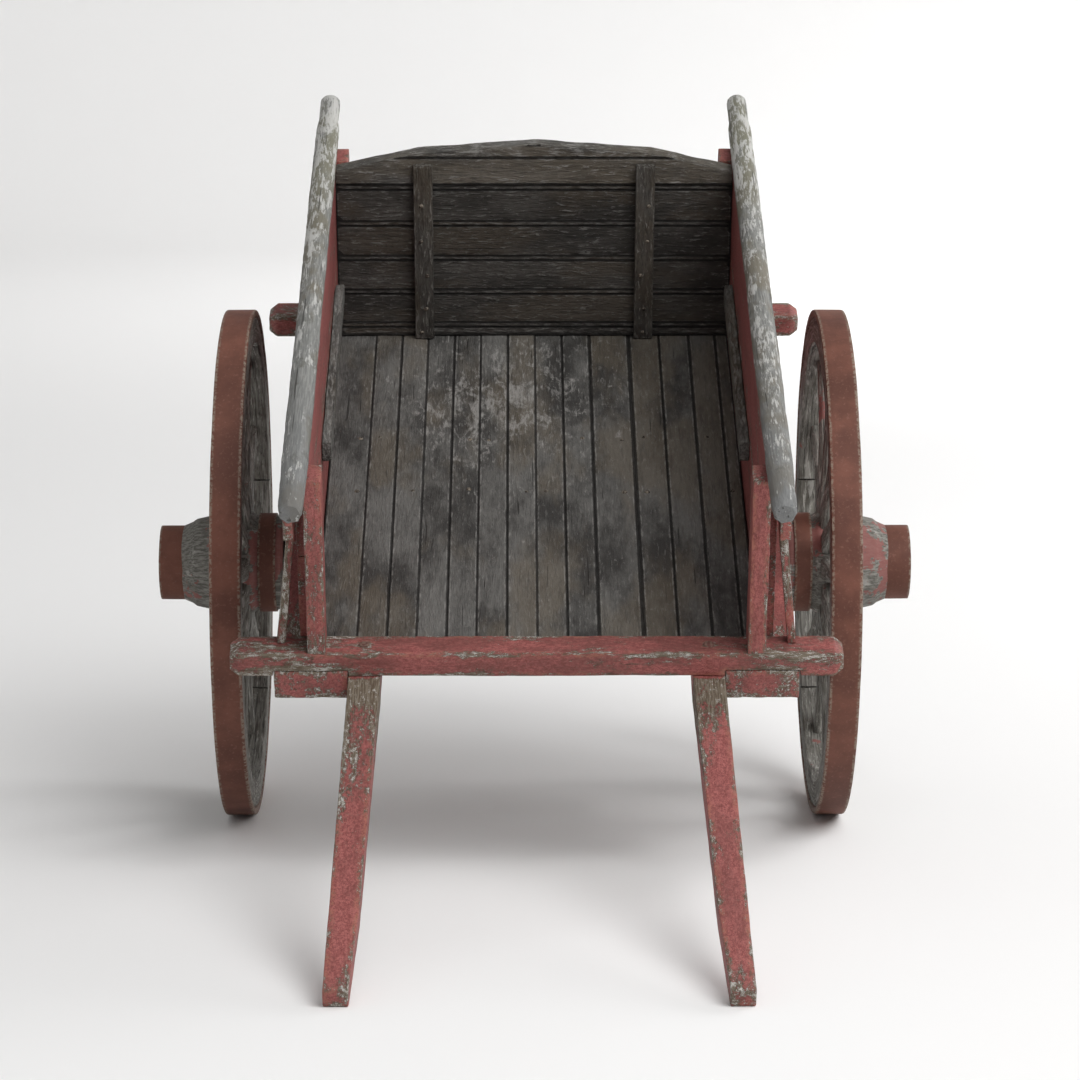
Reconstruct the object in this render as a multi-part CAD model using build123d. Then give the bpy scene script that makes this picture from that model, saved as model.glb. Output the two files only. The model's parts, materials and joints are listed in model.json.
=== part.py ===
from build123d import *
from math import asin, atan2, cos, degrees, hypot, radians, sin, sqrt
import os

# A two-wheeled wooden farm handcart, standing on its wheels and on the tips of its two shafts.
# Millimetres. The body is drawn level, with the axle centre at the origin: X runs across the cart,
# Y from the open tail towards the headboard, Z square to the bed. The last section tips the body
# about the axle until the shaft tips meet the ground, and stands the whole cart on Z = 0.
# Left is -X and right is +X, seen from the tail.

# ---------------------------------------------------------------- wheels
WHEEL_RADIUS = 425.0
TRACK = 984.0                 # centre to centre of the two tyres
TYRE_WIDTH = 50.0
TYRE_THICKNESS = 12.0
FELLOE_WIDTH = 48.0
FELLOE_DEPTH = 45.0
FELLOE_COUNT = 6
SPOKES_PER_FELLOE = 2
SPOKE_DISH = 8.0              # how far the spoke feet stand inboard of the rim
SPOKE_FOOT = (38.0, 32.0)     # along the axle, across the spoke, at the nave
SPOKE_NECK = (34.0, 26.0)     # the same, at the felloe
SPOKE_SINK = 6.0              # how far the shoulders bed into nave and felloe
TENON_FOOT = (34.0, 18.0)
TENON_DEPTH = 30.0
TONGUE = (20.0, 18.0)
TONGUE_DEPTH = 24.0

NAVE_BELLY_RADIUS = 86.0
NAVE_INNER_RADIUS = 79.5      # seat of the inner hoop
NAVE_SHOULDER_RADIUS = 73.5   # at the foot of the outer neck
NAVE_NECK_RADIUS = 58.5       # seat of the outer hoop
NAVE_INBOARD = 71.0           # from the tyre's middle plane to the inner end
NAVE_BELLY = (-17.0, 22.0)    # the cylindrical part that takes the spokes
NAVE_NECK_START = 82.0
NAVE_NECK_LENGTH = 26.0
NAVE_EDGE = 4.0
HOOP_THICKNESS = 4.0
INNER_HOOP_WIDTH = 30.0
INNER_HOOP_INSET = 12.0       # from the nave's inner end
OUTER_HOOP_WIDTH = 55.0

# ---------------------------------------------------------------- axle
ARM_RADIUS = 22.0             # the round iron arm that the wheel turns on
RUNNING_CLEARANCE = 0.08      # radial, between arm and nave box
BOX_WALL = 6.0                # the iron lining of the nave
BOX_PROUD = 2.0               # how far the lining stands out of the nave's outer end
END_PLAY = 0.5                # between wheel and collar, and wheel and linchpin
COLLAR_RADIUS = 34.0
COLLAR_THICKNESS = 7.0
SHANK_SIDE = 38.0             # square part of the iron, let into the axle tree
SHANK_LENGTH = 110.0
LINCHPIN_RADIUS = 5.0
LINCHPIN_LENGTH = 78.0
ARM_BEYOND_PIN = 9.0
AXLE_TREE = (84.0, 84.0)      # along the cart, upright
BOLSTER_LENGTH = 800.0
BOLSTER_DEPTH = 90.0          # along the cart

# ---------------------------------------------------------------- bed and chassis
BED_INNER_WIDTH = 690.0       # between the inner faces of the sides
BED_TAIL = 524.0              # axle to the tail crossbar's inner face
BED_HEAD = 560.0              # axle to the head crossbar's inner face
FLOOR_TOP = 170.0             # above the axle centre
FLOOR_THICKNESS = 23.0
FLOOR_SIDE_GAP = 2.0
FLOOR_BOARD_WIDTHS = (65.0, 92.0, 93.0, 95.0, 95.0, 71.0, 107.0, 68.0)   # as sawn, left to right
BOARD_GAP = 0.6
BOARD_BEVEL = 2.0

CROSSBAR_LENGTH = 948.0
CROSSBAR = (55.0, 41.5)       # along the cart, upright
CROSSBAR_ABOVE_FLOOR = 8.5
CROSSBAR_NIB = 14.0           # length of the bevelled ends
CROSSBAR_NIB_DROP = 8.0

SILL = (115.0, 50.0)          # across the cart, upright
SHAFT_WIDTH = 50.0
SHAFT_DEPTH = 48.0
SHAFT_SPACING = 532.0         # centre to centre, under the bed
SHAFT_REACH = 1380.0          # axle to tip
SHAFT_SPREAD = 6.5            # how far the outer faces stand out along the handles
SPREAD_AT = 990.0
TAPER_AT = 1186.0
TAPER_WIDTH = 45.0
TIP_WIDTH = 36.0
TIP_DEPTH = 32.0
TIP_WEAR = 3.0                # the worn flat on which each tip rests

# ---------------------------------------------------------------- sides
SIDE_THICKNESS = 22.0
SIDE_HEIGHT = 323.0           # above the floor
SIDE_SEAM = 150.0             # above the floor, between the two boards of a side
RAIL_RADIUS = 21.0
RAIL_OVERHANG_TAIL = 190.0    # past the tail crossbar's inner face
RAIL_OVERHANG_HEAD = 201.0    # past the head crossbar's inner face
RAIL_NECK_RADIUS = 16.5
RAIL_NECK_LENGTH = 62.0
RAIL_NECK_CONE = 16.0
RAIL_TIP_BEVEL = 6.0
RAVE = (18.0, 111.0)          # thickness and height of the outer board under the rail
RAVE_DROP = 4.0               # below the rail's seat
POST_WIDTH = 29.0             # across the cart; along it they are as deep as the crossbars
POST_INNER_X = 324.0
POST_HEIGHT = 304.0           # above the crossbar
POST_TENON = (17.0, 30.0)
BRACE = (14.0, 26.0)          # thickness across the cart, width along the cart
BRACE_SPREAD = 20.0           # how far the foot stands out from the side
CLEAT = (16.0, 35.0)
CLEAT_TOP = 149.0             # above the floor
CLEAT_TAIL = -162.0
CLEAT_HEAD = 409.0

# ---------------------------------------------------------------- headboard
HEADBOARD_INNER_Y = 501.0
HEADBOARD_THICKNESS = 30.0
HEADBOARD_SIDE_GAP = 0.5
HEAD_PLANK_HEIGHTS = (27.0, 65.0, 66.0, 67.0, 69.0)   # from the floor up; the sixth is the arch
ARCH_CORNER = 321.0           # heights above the floor
ARCH_BREAK = 354.0
ARCH_PEAK = 370.0
ARCH_BREAK_X = 204.0
BATTEN = (34.0, 13.0)         # width, thickness
BATTEN_X = 193.0
BATTEN_HEIGHT = 336.0
REAR_BATTEN_HEIGHT = 310.0

# ---------------------------------------------------------------- bolts
BOLT_RADIUS = 6.0
BOLT_HEAD_RADIUS = 12.0
BOLT_HEAD_HEIGHT = 5.0
NUT_SIDE = 22.0
NUT_HEIGHT = 10.0
THREAD_BEYOND_NUT = 6.0

# ---------------------------------------------------------------- worked out from the above
floor_bottom = FLOOR_TOP - FLOOR_THICKNESS
crossbar_top = FLOOR_TOP + CROSSBAR_ABOVE_FLOOR
crossbar_bottom = crossbar_top - CROSSBAR[1]
sill_top = floor_bottom
sill_bottom = sill_top - SILL[1]
shaft_bottom = crossbar_bottom - SHAFT_DEPTH
tail_end = -(BED_TAIL + CROSSBAR[0])
head_end = BED_HEAD + CROSSBAR[0]
side_inner = BED_INNER_WIDTH / 2
side_outer = side_inner + SIDE_THICKNESS
side_top = FLOOR_TOP + SIDE_HEIGHT
shaft_inner = (SHAFT_SPACING - SHAFT_WIDTH) / 2
shaft_outer = shaft_inner + SHAFT_WIDTH
nave_outer = NAVE_NECK_START + NAVE_NECK_LENGTH
box_end = nave_outer + BOX_PROUD
box_radius = ARM_RADIUS + RUNNING_CLEARANCE + BOX_WALL
collar_face = TRACK / 2 - NAVE_INBOARD - END_PLAY
tree_half = collar_face - COLLAR_THICKNESS
tree_top = AXLE_TREE[1] / 2
pin_x = TRACK / 2 + box_end + END_PLAY + LINCHPIN_RADIUS
rim_radius = WHEEL_RADIUS - TYRE_THICKNESS
felloe_inner = rim_radius - FELLOE_DEPTH
spoke_count = FELLOE_COUNT * SPOKES_PER_FELLOE
mid_headboard_x = side_inner - HEADBOARD_SIDE_GAP

parts = {}


def block(x, y, z):
    """A box between two limits on each axis."""
    size = Box(x[1] - x[0], y[1] - y[0], z[1] - z[0], align=(Align.MIN, Align.MIN, Align.MIN))
    return Pos(x[0], y[0], z[0]) * size


def other_side(solid):
    return mirror(solid, about=Plane.YZ)


def both_sides(name, solid):
    """Keeps a right-hand piece and its mirror image as two nodes."""
    parts[name + "_right"] = solid
    parts[name + "_left"] = other_side(solid)


def prism(points, plane, start, length):
    """A polygon on a plane, pulled square to it from start over length."""
    face = make_face(Polyline(*points, close=True))
    return extrude(plane.offset(start) * face, length)


def turned(points):
    """A closed outline of (along X, radius) points, turned about the X axis."""
    return revolve(make_face(Polyline(*points, close=True)), axis=Axis.X)


def ring(start, end, outer, inner):
    return turned([(start, inner), (end, inner), (end, outer), (start, outer)])


# ---------------------------------------------------------------- one wheel, its middle plane at X = 0
def spoke():
    """One spoke pointing up: foot tenon, tapering body with its dish, and rim tongue."""
    foot_r = NAVE_BELLY_RADIUS - SPOKE_SINK
    neck_r = felloe_inner + SPOKE_SINK / 2
    foot = Pos(-SPOKE_DISH, 0, foot_r) * Rectangle(*SPOKE_FOOT)
    neck = Pos(0, 0, neck_r) * Rectangle(*SPOKE_NECK)
    body = loft([foot, neck])
    tenon = block(
        (-SPOKE_DISH - TENON_FOOT[0] / 2, -SPOKE_DISH + TENON_FOOT[0] / 2),
        (-TENON_FOOT[1] / 2, TENON_FOOT[1] / 2),
        (foot_r - TENON_DEPTH, foot_r),
    )
    tongue = block(
        (-TONGUE[0] / 2, TONGUE[0] / 2),
        (-TONGUE[1] / 2, TONGUE[1] / 2),
        (neck_r, neck_r + TONGUE_DEPTH),
    )
    return body + tenon + tongue


def felloe():
    """One sixth of the wooden rim."""
    half = FELLOE_WIDTH / 2
    corners = [(-half, felloe_inner), (half, felloe_inner), (half, rim_radius), (-half, rim_radius)]
    section = make_face(Polyline(*corners, close=True))
    sector = revolve(section, axis=Axis.X, revolution_arc=360 / FELLOE_COUNT)
    return sector


def nave():
    """The turned hub: hoop seats at both ends and a belly for the spokes."""
    seat_end = -NAVE_INBOARD + INNER_HOOP_INSET + INNER_HOOP_WIDTH
    return turned([
        (-NAVE_INBOARD, box_radius),
        (-NAVE_INBOARD, NAVE_INNER_RADIUS - NAVE_EDGE),
        (-NAVE_INBOARD + NAVE_EDGE, NAVE_INNER_RADIUS),
        (seat_end, NAVE_INNER_RADIUS),
        (NAVE_BELLY[0], NAVE_BELLY_RADIUS),
        (NAVE_BELLY[1], NAVE_BELLY_RADIUS),
        (NAVE_NECK_START - NAVE_EDGE, NAVE_SHOULDER_RADIUS),
        (NAVE_NECK_START, NAVE_SHOULDER_RADIUS - NAVE_EDGE),
        (NAVE_NECK_START, NAVE_NECK_RADIUS),
        (nave_outer, NAVE_NECK_RADIUS),
        (nave_outer, box_radius),
    ])


hoop_start = -NAVE_INBOARD + INNER_HOOP_INSET
step = 360 / spoke_count
spoke_ring = Compound([Rot(X=k * step) * spoke() for k in range(spoke_count)])
# the joints between felloes fall midway between two spokes
felloe_ring = [Rot(X=(k * SPOKES_PER_FELLOE - 0.5) * step + 90) * felloe() for k in range(FELLOE_COUNT)]
wheel = {
    "tyre": ring(-TYRE_WIDTH / 2, TYRE_WIDTH / 2, WHEEL_RADIUS, rim_radius),
    "felloes": Compound([segment - spoke_ring for segment in felloe_ring]),
    "spokes": spoke_ring,
    "nave": nave() - spoke_ring,
    "nave_box": ring(-NAVE_INBOARD, box_end, box_radius, ARM_RADIUS + RUNNING_CLEARANCE),
    "inner_hoop": ring(hoop_start, hoop_start + INNER_HOOP_WIDTH,
                       NAVE_INNER_RADIUS + HOOP_THICKNESS, NAVE_INNER_RADIUS),
    "outer_hoop": ring(NAVE_NECK_START, NAVE_NECK_START + OUTER_HOOP_WIDTH,
                       NAVE_NECK_RADIUS + HOOP_THICKNESS, NAVE_NECK_RADIUS),
}
wheel_names = ["wheel_" + name for name in wheel]
for name, piece in wheel.items():
    both_sides("wheel_" + name, Pos(TRACK / 2, 0, 0) * piece)


# ---------------------------------------------------------------- bolts
def bolt(x, y, head_z, nut_z):
    """A round-headed bolt, its square nut under nut_z."""
    shank_bottom = nut_z - NUT_HEIGHT - THREAD_BEYOND_NUT
    shank = Pos(x, y, shank_bottom) * Cylinder(
        BOLT_RADIUS, head_z - shank_bottom, align=(Align.CENTER, Align.CENTER, Align.MIN))
    head = Pos(x, y, head_z) * Cylinder(
        BOLT_HEAD_RADIUS, BOLT_HEAD_HEIGHT, align=(Align.CENTER, Align.CENTER, Align.MIN))
    nut = block((x - NUT_SIDE / 2, x + NUT_SIDE / 2), (y - NUT_SIDE / 2, y + NUT_SIDE / 2),
                (nut_z - NUT_HEIGHT, nut_z))
    return shank + head + nut


bolt_x = SHAFT_SPACING / 2
tail_bar_y = -(BED_TAIL + CROSSBAR[0] / 2)
head_bar_y = BED_HEAD + CROSSBAR[0] / 2
tail_bolt = bolt(bolt_x, tail_bar_y, crossbar_top, shaft_bottom)
head_bolt = bolt(bolt_x, head_bar_y, crossbar_top, shaft_bottom)
# the axle bolts' heads are sunk flush into the shafts, under the floor
axle_bolt = bolt(bolt_x, 0, sill_top - BOLT_HEAD_HEIGHT, -tree_top)
right_bolts = [tail_bolt, head_bolt, axle_bolt]
parts["coach_bolts"] = Compound(right_bolts + [other_side(one) for one in right_bolts])


# ---------------------------------------------------------------- axle
arm_end = pin_x + LINCHPIN_RADIUS + ARM_BEYOND_PIN
shank_start = tree_half - SHANK_LENGTH
half_shank = SHANK_SIDE / 2
shank = block((shank_start, tree_half), (-half_shank, half_shank), (-half_shank, half_shank))
collar = ring(tree_half, collar_face, COLLAR_RADIUS, ARM_RADIUS / 2)
arm = turned([(tree_half, 0), (arm_end, 0), (arm_end, ARM_RADIUS), (tree_half, ARM_RADIUS)])
linchpin = Pos(pin_x, 0, 0) * Cylinder(LINCHPIN_RADIUS, LINCHPIN_LENGTH)
both_sides("axle_arm", shank + collar + arm - linchpin)
parts["linchpins"] = Compound([linchpin, other_side(linchpin)])

tree = block((-tree_half, tree_half), (-AXLE_TREE[0] / 2, AXLE_TREE[0] / 2), (-tree_top, tree_top))
bolster = block((-BOLSTER_LENGTH / 2, BOLSTER_LENGTH / 2), (-BOLSTER_DEPTH / 2, BOLSTER_DEPTH / 2),
                (tree_top, sill_bottom))
parts["axle_tree"] = tree - shank - other_side(shank) - axle_bolt - other_side(axle_bolt)
parts["axle_bolster"] = bolster - axle_bolt - other_side(axle_bolt)

# ---------------------------------------------------------------- shafts, sills and crossbars
# Each shaft is one long timber: square under the bed, tapering on its inner side to the grip.
side_view = prism([
    (-SHAFT_REACH, crossbar_bottom - TIP_DEPTH), (-SHAFT_REACH, crossbar_bottom),
    (-BED_TAIL, crossbar_bottom), (-BED_TAIL, sill_top),
    (BED_HEAD, sill_top), (BED_HEAD, crossbar_bottom),
    (head_end, crossbar_bottom), (head_end, shaft_bottom),
    (BOLSTER_DEPTH / 2, shaft_bottom), (BOLSTER_DEPTH / 2, sill_bottom),
    (-BOLSTER_DEPTH / 2, sill_bottom), (-BOLSTER_DEPTH / 2, shaft_bottom),
    (tail_end, shaft_bottom),
], Plane.YZ, 0, shaft_outer + SHAFT_WIDTH)
handle_outer = shaft_outer + SHAFT_SPREAD
plan_view = prism([
    (shaft_inner, head_end), (shaft_outer, head_end), (shaft_outer, tail_end),
    (handle_outer, -SPREAD_AT), (handle_outer, -SHAFT_REACH),
    (handle_outer - TIP_WIDTH, -SHAFT_REACH), (handle_outer - TAPER_WIDTH, -TAPER_AT),
    (shaft_inner, tail_end),
], Plane.XY, 0, sill_top)
both_sides("shaft", (side_view & plan_view) - axle_bolt - tail_bolt - head_bolt)

sill = block((shaft_outer, shaft_outer + SILL[0]), (tail_end, head_end), (sill_bottom, sill_top))
both_sides("sill", sill)


def post_tenon(y_start):
    middle_x = POST_INNER_X + POST_WIDTH / 2
    middle_y = y_start + CROSSBAR[0] / 2
    return block((middle_x - POST_TENON[0] / 2, middle_x + POST_TENON[0] / 2),
                 (middle_y - POST_TENON[1] / 2, middle_y + POST_TENON[1] / 2),
                 (sill_top, crossbar_top))


def crossbar(y_start, tenon, bar_bolt):
    """A bar with bevelled ends, housed over the sills and mortised for the posts."""
    half = CROSSBAR_LENGTH / 2 - CROSSBAR_NIB
    middle = block((-half, half), (y_start, y_start + CROSSBAR[0]), (crossbar_bottom, crossbar_top))
    end_centre = Pos(half, y_start + CROSSBAR[0] / 2, (crossbar_bottom + crossbar_top) / 2)
    end_face = end_centre * Rot(Y=90) * Rectangle(CROSSBAR[1], CROSSBAR[0])
    small = CROSSBAR[1] - 2 * CROSSBAR_NIB_DROP, CROSSBAR[0] - 2 * CROSSBAR_NIB_DROP
    tip_face = Pos(CROSSBAR_NIB, 0, 0) * end_centre * Rot(Y=90) * Rectangle(*small)
    nib = loft([end_face, tip_face])
    bar = middle + nib + other_side(nib)
    return bar - sill - other_side(sill) - tenon - other_side(tenon) - bar_bolt - other_side(bar_bolt)


tail_tenon = post_tenon(tail_end)
head_tenon = post_tenon(BED_HEAD)
parts["crossbar_tail"] = crossbar(tail_end, tail_tenon, tail_bolt)
parts["crossbar_head"] = crossbar(BED_HEAD, head_tenon, head_bolt)

# ---------------------------------------------------------------- posts, braces and sides
post_x = (POST_INNER_X, POST_INNER_X + POST_WIDTH)
post_z = (crossbar_top, crossbar_top + POST_HEIGHT)
both_sides("post_tail", block(post_x, (tail_end, -BED_TAIL), post_z) + tail_tenon)
both_sides("post_head", block(post_x, (BED_HEAD, head_end), post_z) + head_tenon)

side_y = (-BED_TAIL, BED_HEAD)
seam_z = FLOOR_TOP + SIDE_SEAM
both_sides("side_board_lower", block((side_inner, side_outer), side_y, (sill_top, seam_z)))
both_sides("side_board_upper", block((side_inner, side_outer), side_y, (seam_z, side_top)))

rave_x = (side_outer, side_outer + RAVE[0])
rave_top = side_top - RAVE_DROP
rave_bottom = rave_top - RAVE[1]
both_sides("rave_board", block(rave_x, (tail_end, head_end), (rave_bottom, rave_top)))

brace_outline = [
    (side_outer + BRACE_SPREAD, crossbar_top), (side_outer + BRACE_SPREAD + BRACE[0], crossbar_top),
    (side_outer + BRACE[0], rave_bottom), (side_outer, rave_bottom),
]


def brace(y_start):
    """A slim strut leaning from the crossbar's top to the side board, up to the rave's edge."""
    return prism([(x, z) for x, z in brace_outline], Plane.XZ, -(y_start + BRACE[1]), BRACE[1])


pair = [brace(-BED_TAIL - BRACE[1]), brace(BED_HEAD)]
both_sides("braces", Compound(pair))

cleat_z = (FLOOR_TOP + CLEAT_TOP - CLEAT[1], FLOOR_TOP + CLEAT_TOP)
both_sides("side_cleat", block((side_inner - CLEAT[0], side_inner), (CLEAT_TAIL, CLEAT_HEAD), cleat_z))

# ---------------------------------------------------------------- top rails
rail_start = -(BED_TAIL + RAIL_OVERHANG_TAIL)
rail_end = BED_HEAD + RAIL_OVERHANG_HEAD
rail_x = (side_inner + side_outer) / 2 + BRACE[0] / 2
flat_half = side_outer - rail_x
# the pole is planed flat where it sits on the side, so its centre lies this far above the seat
rail_rise = sqrt(RAIL_RADIUS ** 2 - (rail_x - side_inner) ** 2)
neck_start = rail_end - RAIL_NECK_LENGTH
pole_outline = [
    (rail_start, 0), (rail_start, RAIL_RADIUS - RAIL_TIP_BEVEL),
    (rail_start + RAIL_TIP_BEVEL, RAIL_RADIUS),
    (neck_start - RAIL_NECK_CONE, RAIL_RADIUS), (neck_start, RAIL_NECK_RADIUS),
    (rail_end - RAIL_TIP_BEVEL, RAIL_NECK_RADIUS),
    (rail_end, RAIL_NECK_RADIUS - RAIL_TIP_BEVEL), (rail_end, 0),
]
pole = Pos(rail_x, 0, side_top + rail_rise) * Rot(Z=90) * turned(pole_outline)
seat = block((side_inner - RAIL_RADIUS, side_outer), side_y, (side_top - 2 * RAIL_RADIUS, side_top))
rave_seat = block(rave_x, (tail_end, head_end), (rave_bottom, rave_top))
both_sides("top_rail", pole - seat - rave_seat)

# ---------------------------------------------------------------- floor
floor_width = BED_INNER_WIDTH - 2 * FLOOR_SIDE_GAP
scale = floor_width / sum(FLOOR_BOARD_WIDTHS)
x = -floor_width / 2
for number, width in enumerate(FLOOR_BOARD_WIDTHS, 1):
    left, right = x, x + width * scale - BOARD_GAP
    outline = [
        (left, floor_bottom), (right, floor_bottom), (right, FLOOR_TOP - BOARD_BEVEL),
        (right - BOARD_BEVEL, FLOOR_TOP), (left + BOARD_BEVEL, FLOOR_TOP),
        (left, FLOOR_TOP - BOARD_BEVEL),
    ]
    parts[f"floor_board_{number}"] = prism(outline, Plane.XZ, -BED_HEAD, BED_TAIL + BED_HEAD)
    x += width * scale

# ---------------------------------------------------------------- headboard
headboard_outer_y = HEADBOARD_INNER_Y + HEADBOARD_THICKNESS
edge = mid_headboard_x
arch = prism([
    (-edge, FLOOR_TOP), (edge, FLOOR_TOP), (edge, FLOOR_TOP + ARCH_CORNER),
    (ARCH_BREAK_X, FLOOR_TOP + ARCH_BREAK), (0, FLOOR_TOP + ARCH_PEAK),
    (-ARCH_BREAK_X, FLOOR_TOP + ARCH_BREAK), (-edge, FLOOR_TOP + ARCH_CORNER),
], Plane.XZ, -headboard_outer_y, HEADBOARD_THICKNESS)
bottom = FLOOR_TOP
arch_plank = ARCH_PEAK - sum(HEAD_PLANK_HEIGHTS)
for number, height in enumerate(HEAD_PLANK_HEIGHTS + (arch_plank,), 1):
    is_arch = number > len(HEAD_PLANK_HEIGHTS)
    top = bottom + height - (0 if is_arch else BOARD_GAP)
    outline = [
        (HEADBOARD_INNER_Y + BOARD_BEVEL, bottom), (headboard_outer_y, bottom),
        (headboard_outer_y, top), (HEADBOARD_INNER_Y + BOARD_BEVEL, top),
        (HEADBOARD_INNER_Y, top - BOARD_BEVEL), (HEADBOARD_INNER_Y, bottom + BOARD_BEVEL),
    ]
    plank = prism(outline, Plane.YZ, -edge, 2 * edge)
    parts[f"headboard_plank_{number}"] = plank & arch
    bottom += height

batten_x = (BATTEN_X - BATTEN[0] / 2, BATTEN_X + BATTEN[0] / 2)
both_sides("headboard_batten", block(
    batten_x, (HEADBOARD_INNER_Y - BATTEN[1], HEADBOARD_INNER_Y), (FLOOR_TOP, FLOOR_TOP + BATTEN_HEIGHT)))
rear_batten = block(batten_x, (headboard_outer_y, BED_HEAD), (FLOOR_TOP, FLOOR_TOP + REAR_BATTEN_HEIGHT))
parts["headboard_rear_battens"] = Compound([rear_batten, other_side(rear_batten)])

# ---------------------------------------------------------------- tip the body and stand the cart up
# The lower edge of each shaft tip, at (-SHAFT_REACH, tip_z), is brought to TIP_WEAR under the ground.
tip_z = crossbar_bottom - TIP_DEPTH
lean = atan2(tip_z, SHAFT_REACH)
tilt = degrees(asin((WHEEL_RADIUS + TIP_WEAR) / hypot(tip_z, SHAFT_REACH)) + lean)
front = -SHAFT_REACH * cos(radians(tilt)) - crossbar_bottom * sin(radians(tilt))
rail_low = side_top + rail_rise - RAIL_NECK_RADIUS
back = rail_end * cos(radians(tilt)) - rail_low * sin(radians(tilt))
wheel_nodes = {name + side for name in wheel_names for side in ("_left", "_right")}
ground = Pos(0, 0, -WHEEL_RADIUS) * Box(
    4 * TRACK, 4 * SHAFT_REACH, WHEEL_RADIUS, align=(Align.CENTER, Align.CENTER, Align.MAX))

standing = {}
for name, solid in parts.items():
    upright = solid if name in wheel_nodes else Rot(X=tilt) * solid
    if name.startswith("shaft_"):
        upright = upright - ground
    standing[name] = upright

boxes = [solid.bounding_box() for solid in standing.values()]
middle_y = (min(box.min.Y for box in boxes) + max(box.max.Y for box in boxes)) / 2
place = Pos(0, -middle_y, WHEEL_RADIUS)
for name, solid in standing.items():
    export_step(place * solid, os.path.join("parts", name + ".step"))

print("tilt of the bed, degrees:", round(tilt, 3))
print("axle centre, y and z:", round(-middle_y, 3), WHEEL_RADIUS)
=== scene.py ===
# %% [markdown]
# # An old two-wheeled farm handcart
# The cart stands on its two wheels and on the tips of its two shafts, so its bed slopes up to the
# headboard. A packed CAD model fixes where every timber and iron goes. These cells put worn,
# weathered pieces exactly there, and give them their finishes. Loading the frame comes first,
# because every later size is read from it.

import json
import math
import random

import bmesh
import bpy
from mathutils import geometry, Matrix, Vector, kdtree, noise


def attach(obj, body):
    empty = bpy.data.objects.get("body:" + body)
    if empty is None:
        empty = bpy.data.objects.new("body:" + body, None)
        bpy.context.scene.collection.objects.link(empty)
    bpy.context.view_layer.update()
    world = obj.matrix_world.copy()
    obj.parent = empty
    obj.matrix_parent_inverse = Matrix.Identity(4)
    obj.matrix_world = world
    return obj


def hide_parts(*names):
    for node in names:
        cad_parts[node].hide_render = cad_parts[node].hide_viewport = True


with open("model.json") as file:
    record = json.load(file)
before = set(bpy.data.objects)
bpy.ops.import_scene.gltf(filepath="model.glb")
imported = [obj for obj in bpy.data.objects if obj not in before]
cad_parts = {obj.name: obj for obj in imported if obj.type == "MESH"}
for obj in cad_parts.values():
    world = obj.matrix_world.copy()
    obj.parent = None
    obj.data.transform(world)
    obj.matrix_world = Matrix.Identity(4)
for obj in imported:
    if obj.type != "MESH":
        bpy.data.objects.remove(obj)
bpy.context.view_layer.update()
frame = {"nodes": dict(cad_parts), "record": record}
nodes = frame["nodes"]
record = frame["record"]

# %% [markdown]
# ## The bed's own axes
# All the timber of the cart lies square to the sloping bed. It is far easier to model a plank
# lying level and tip it afterwards, so this cell finds the axle and the slope, and makes the two
# matrices that go from the level bed to the standing cart and back. The slope is the lean of a
# floor board's broad upper face, and the axle is the point that the wheels turn about.

# %% Find the axle and the slope of the bed
joints = {joint["name"]: joint for joint in record["behaviour"]["joints"]}
hub_right = Vector(joints["right_wheel_spin"]["pos_m"])
hub_left = Vector(joints["left_wheel_spin"]["pos_m"])
axle = (hub_right + hub_left) / 2
broad_faces = sorted(nodes["floor_board_1"].data.polygons, key=lambda face: face.area)[-4:]
normal = next(face.normal for face in broad_faces if face.normal.z > 0)
slope = math.atan2(-normal.y, normal.z)
bed_to_cart = Matrix.Translation(axle) @ Matrix.Rotation(slope, 4, "X")
cart_to_bed = bed_to_cart.inverted()


def bed_box(node):
    """The lowest and highest corners of a CAD node, measured along the bed's own axes."""
    points = [cart_to_bed @ vertex.co for vertex in nodes[node].data.vertices]
    low = Vector([min(point[axis] for point in points) for axis in range(3)])
    high = Vector([max(point[axis] for point in points) for axis in range(3)])
    return low, high


print("slope of the bed, degrees:", round(math.degrees(slope), 2))
print("axle at", [round(value, 3) for value in axle])

# %% [markdown]
# ## The camera
# A long lens from about seven metres keeps the two wheels nearly parallel, as in a catalogue
# picture. The camera stands low, in front of the open tail, and looks along the cart. It is placed
# by its distance from the axle, its elevation and a very small pan, so each number can be turned
# on its own.

# %% Set the camera
LENS_MM = 131.3
VIEW_DISTANCE = 6.643
VIEW_ELEVATION = math.radians(7.94)
VIEW_PAN = math.radians(0.34)
AIM_RIGHT, AIM_UP = 0.0086, 0.037

look = Vector((math.sin(VIEW_PAN) * math.cos(VIEW_ELEVATION),
               math.cos(VIEW_PAN) * math.cos(VIEW_ELEVATION), -math.sin(VIEW_ELEVATION)))
view_right = look.cross(Vector((0, 0, 1))).normalized()
view_up = view_right.cross(look)
camera_data = bpy.data.cameras.new("catalogue_camera")
camera_data.lens = LENS_MM
camera_data.clip_end = 100
camera = bpy.data.objects.new("catalogue_camera", camera_data)
camera.location = axle - look * VIEW_DISTANCE + view_right * AIM_RIGHT + view_up * AIM_UP
camera.rotation_euler = (math.pi / 2 - VIEW_ELEVATION, 0, -VIEW_PAN)
bpy.context.scene.collection.objects.link(camera)
bpy.context.scene.camera = camera
print("camera at", [round(value, 3) for value in camera.location])

# %% [markdown]
# ## Floor and cove
# A studio cove is one sheet: a floor that curves up into a wall, so no horizon shows. A straight
# sweep would stand in the way of anyone who walks behind the cart, so this one goes all the way
# round, far outside. A disc is the start, and its rim is extruded outwards and up in short steps.

# %% Make the round cove
FLOOR_RADIUS = 15.0
CURVE_RADIUS = 5.0
CURVE_STEPS = 12
WALL_HEIGHT = 6.0

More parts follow.
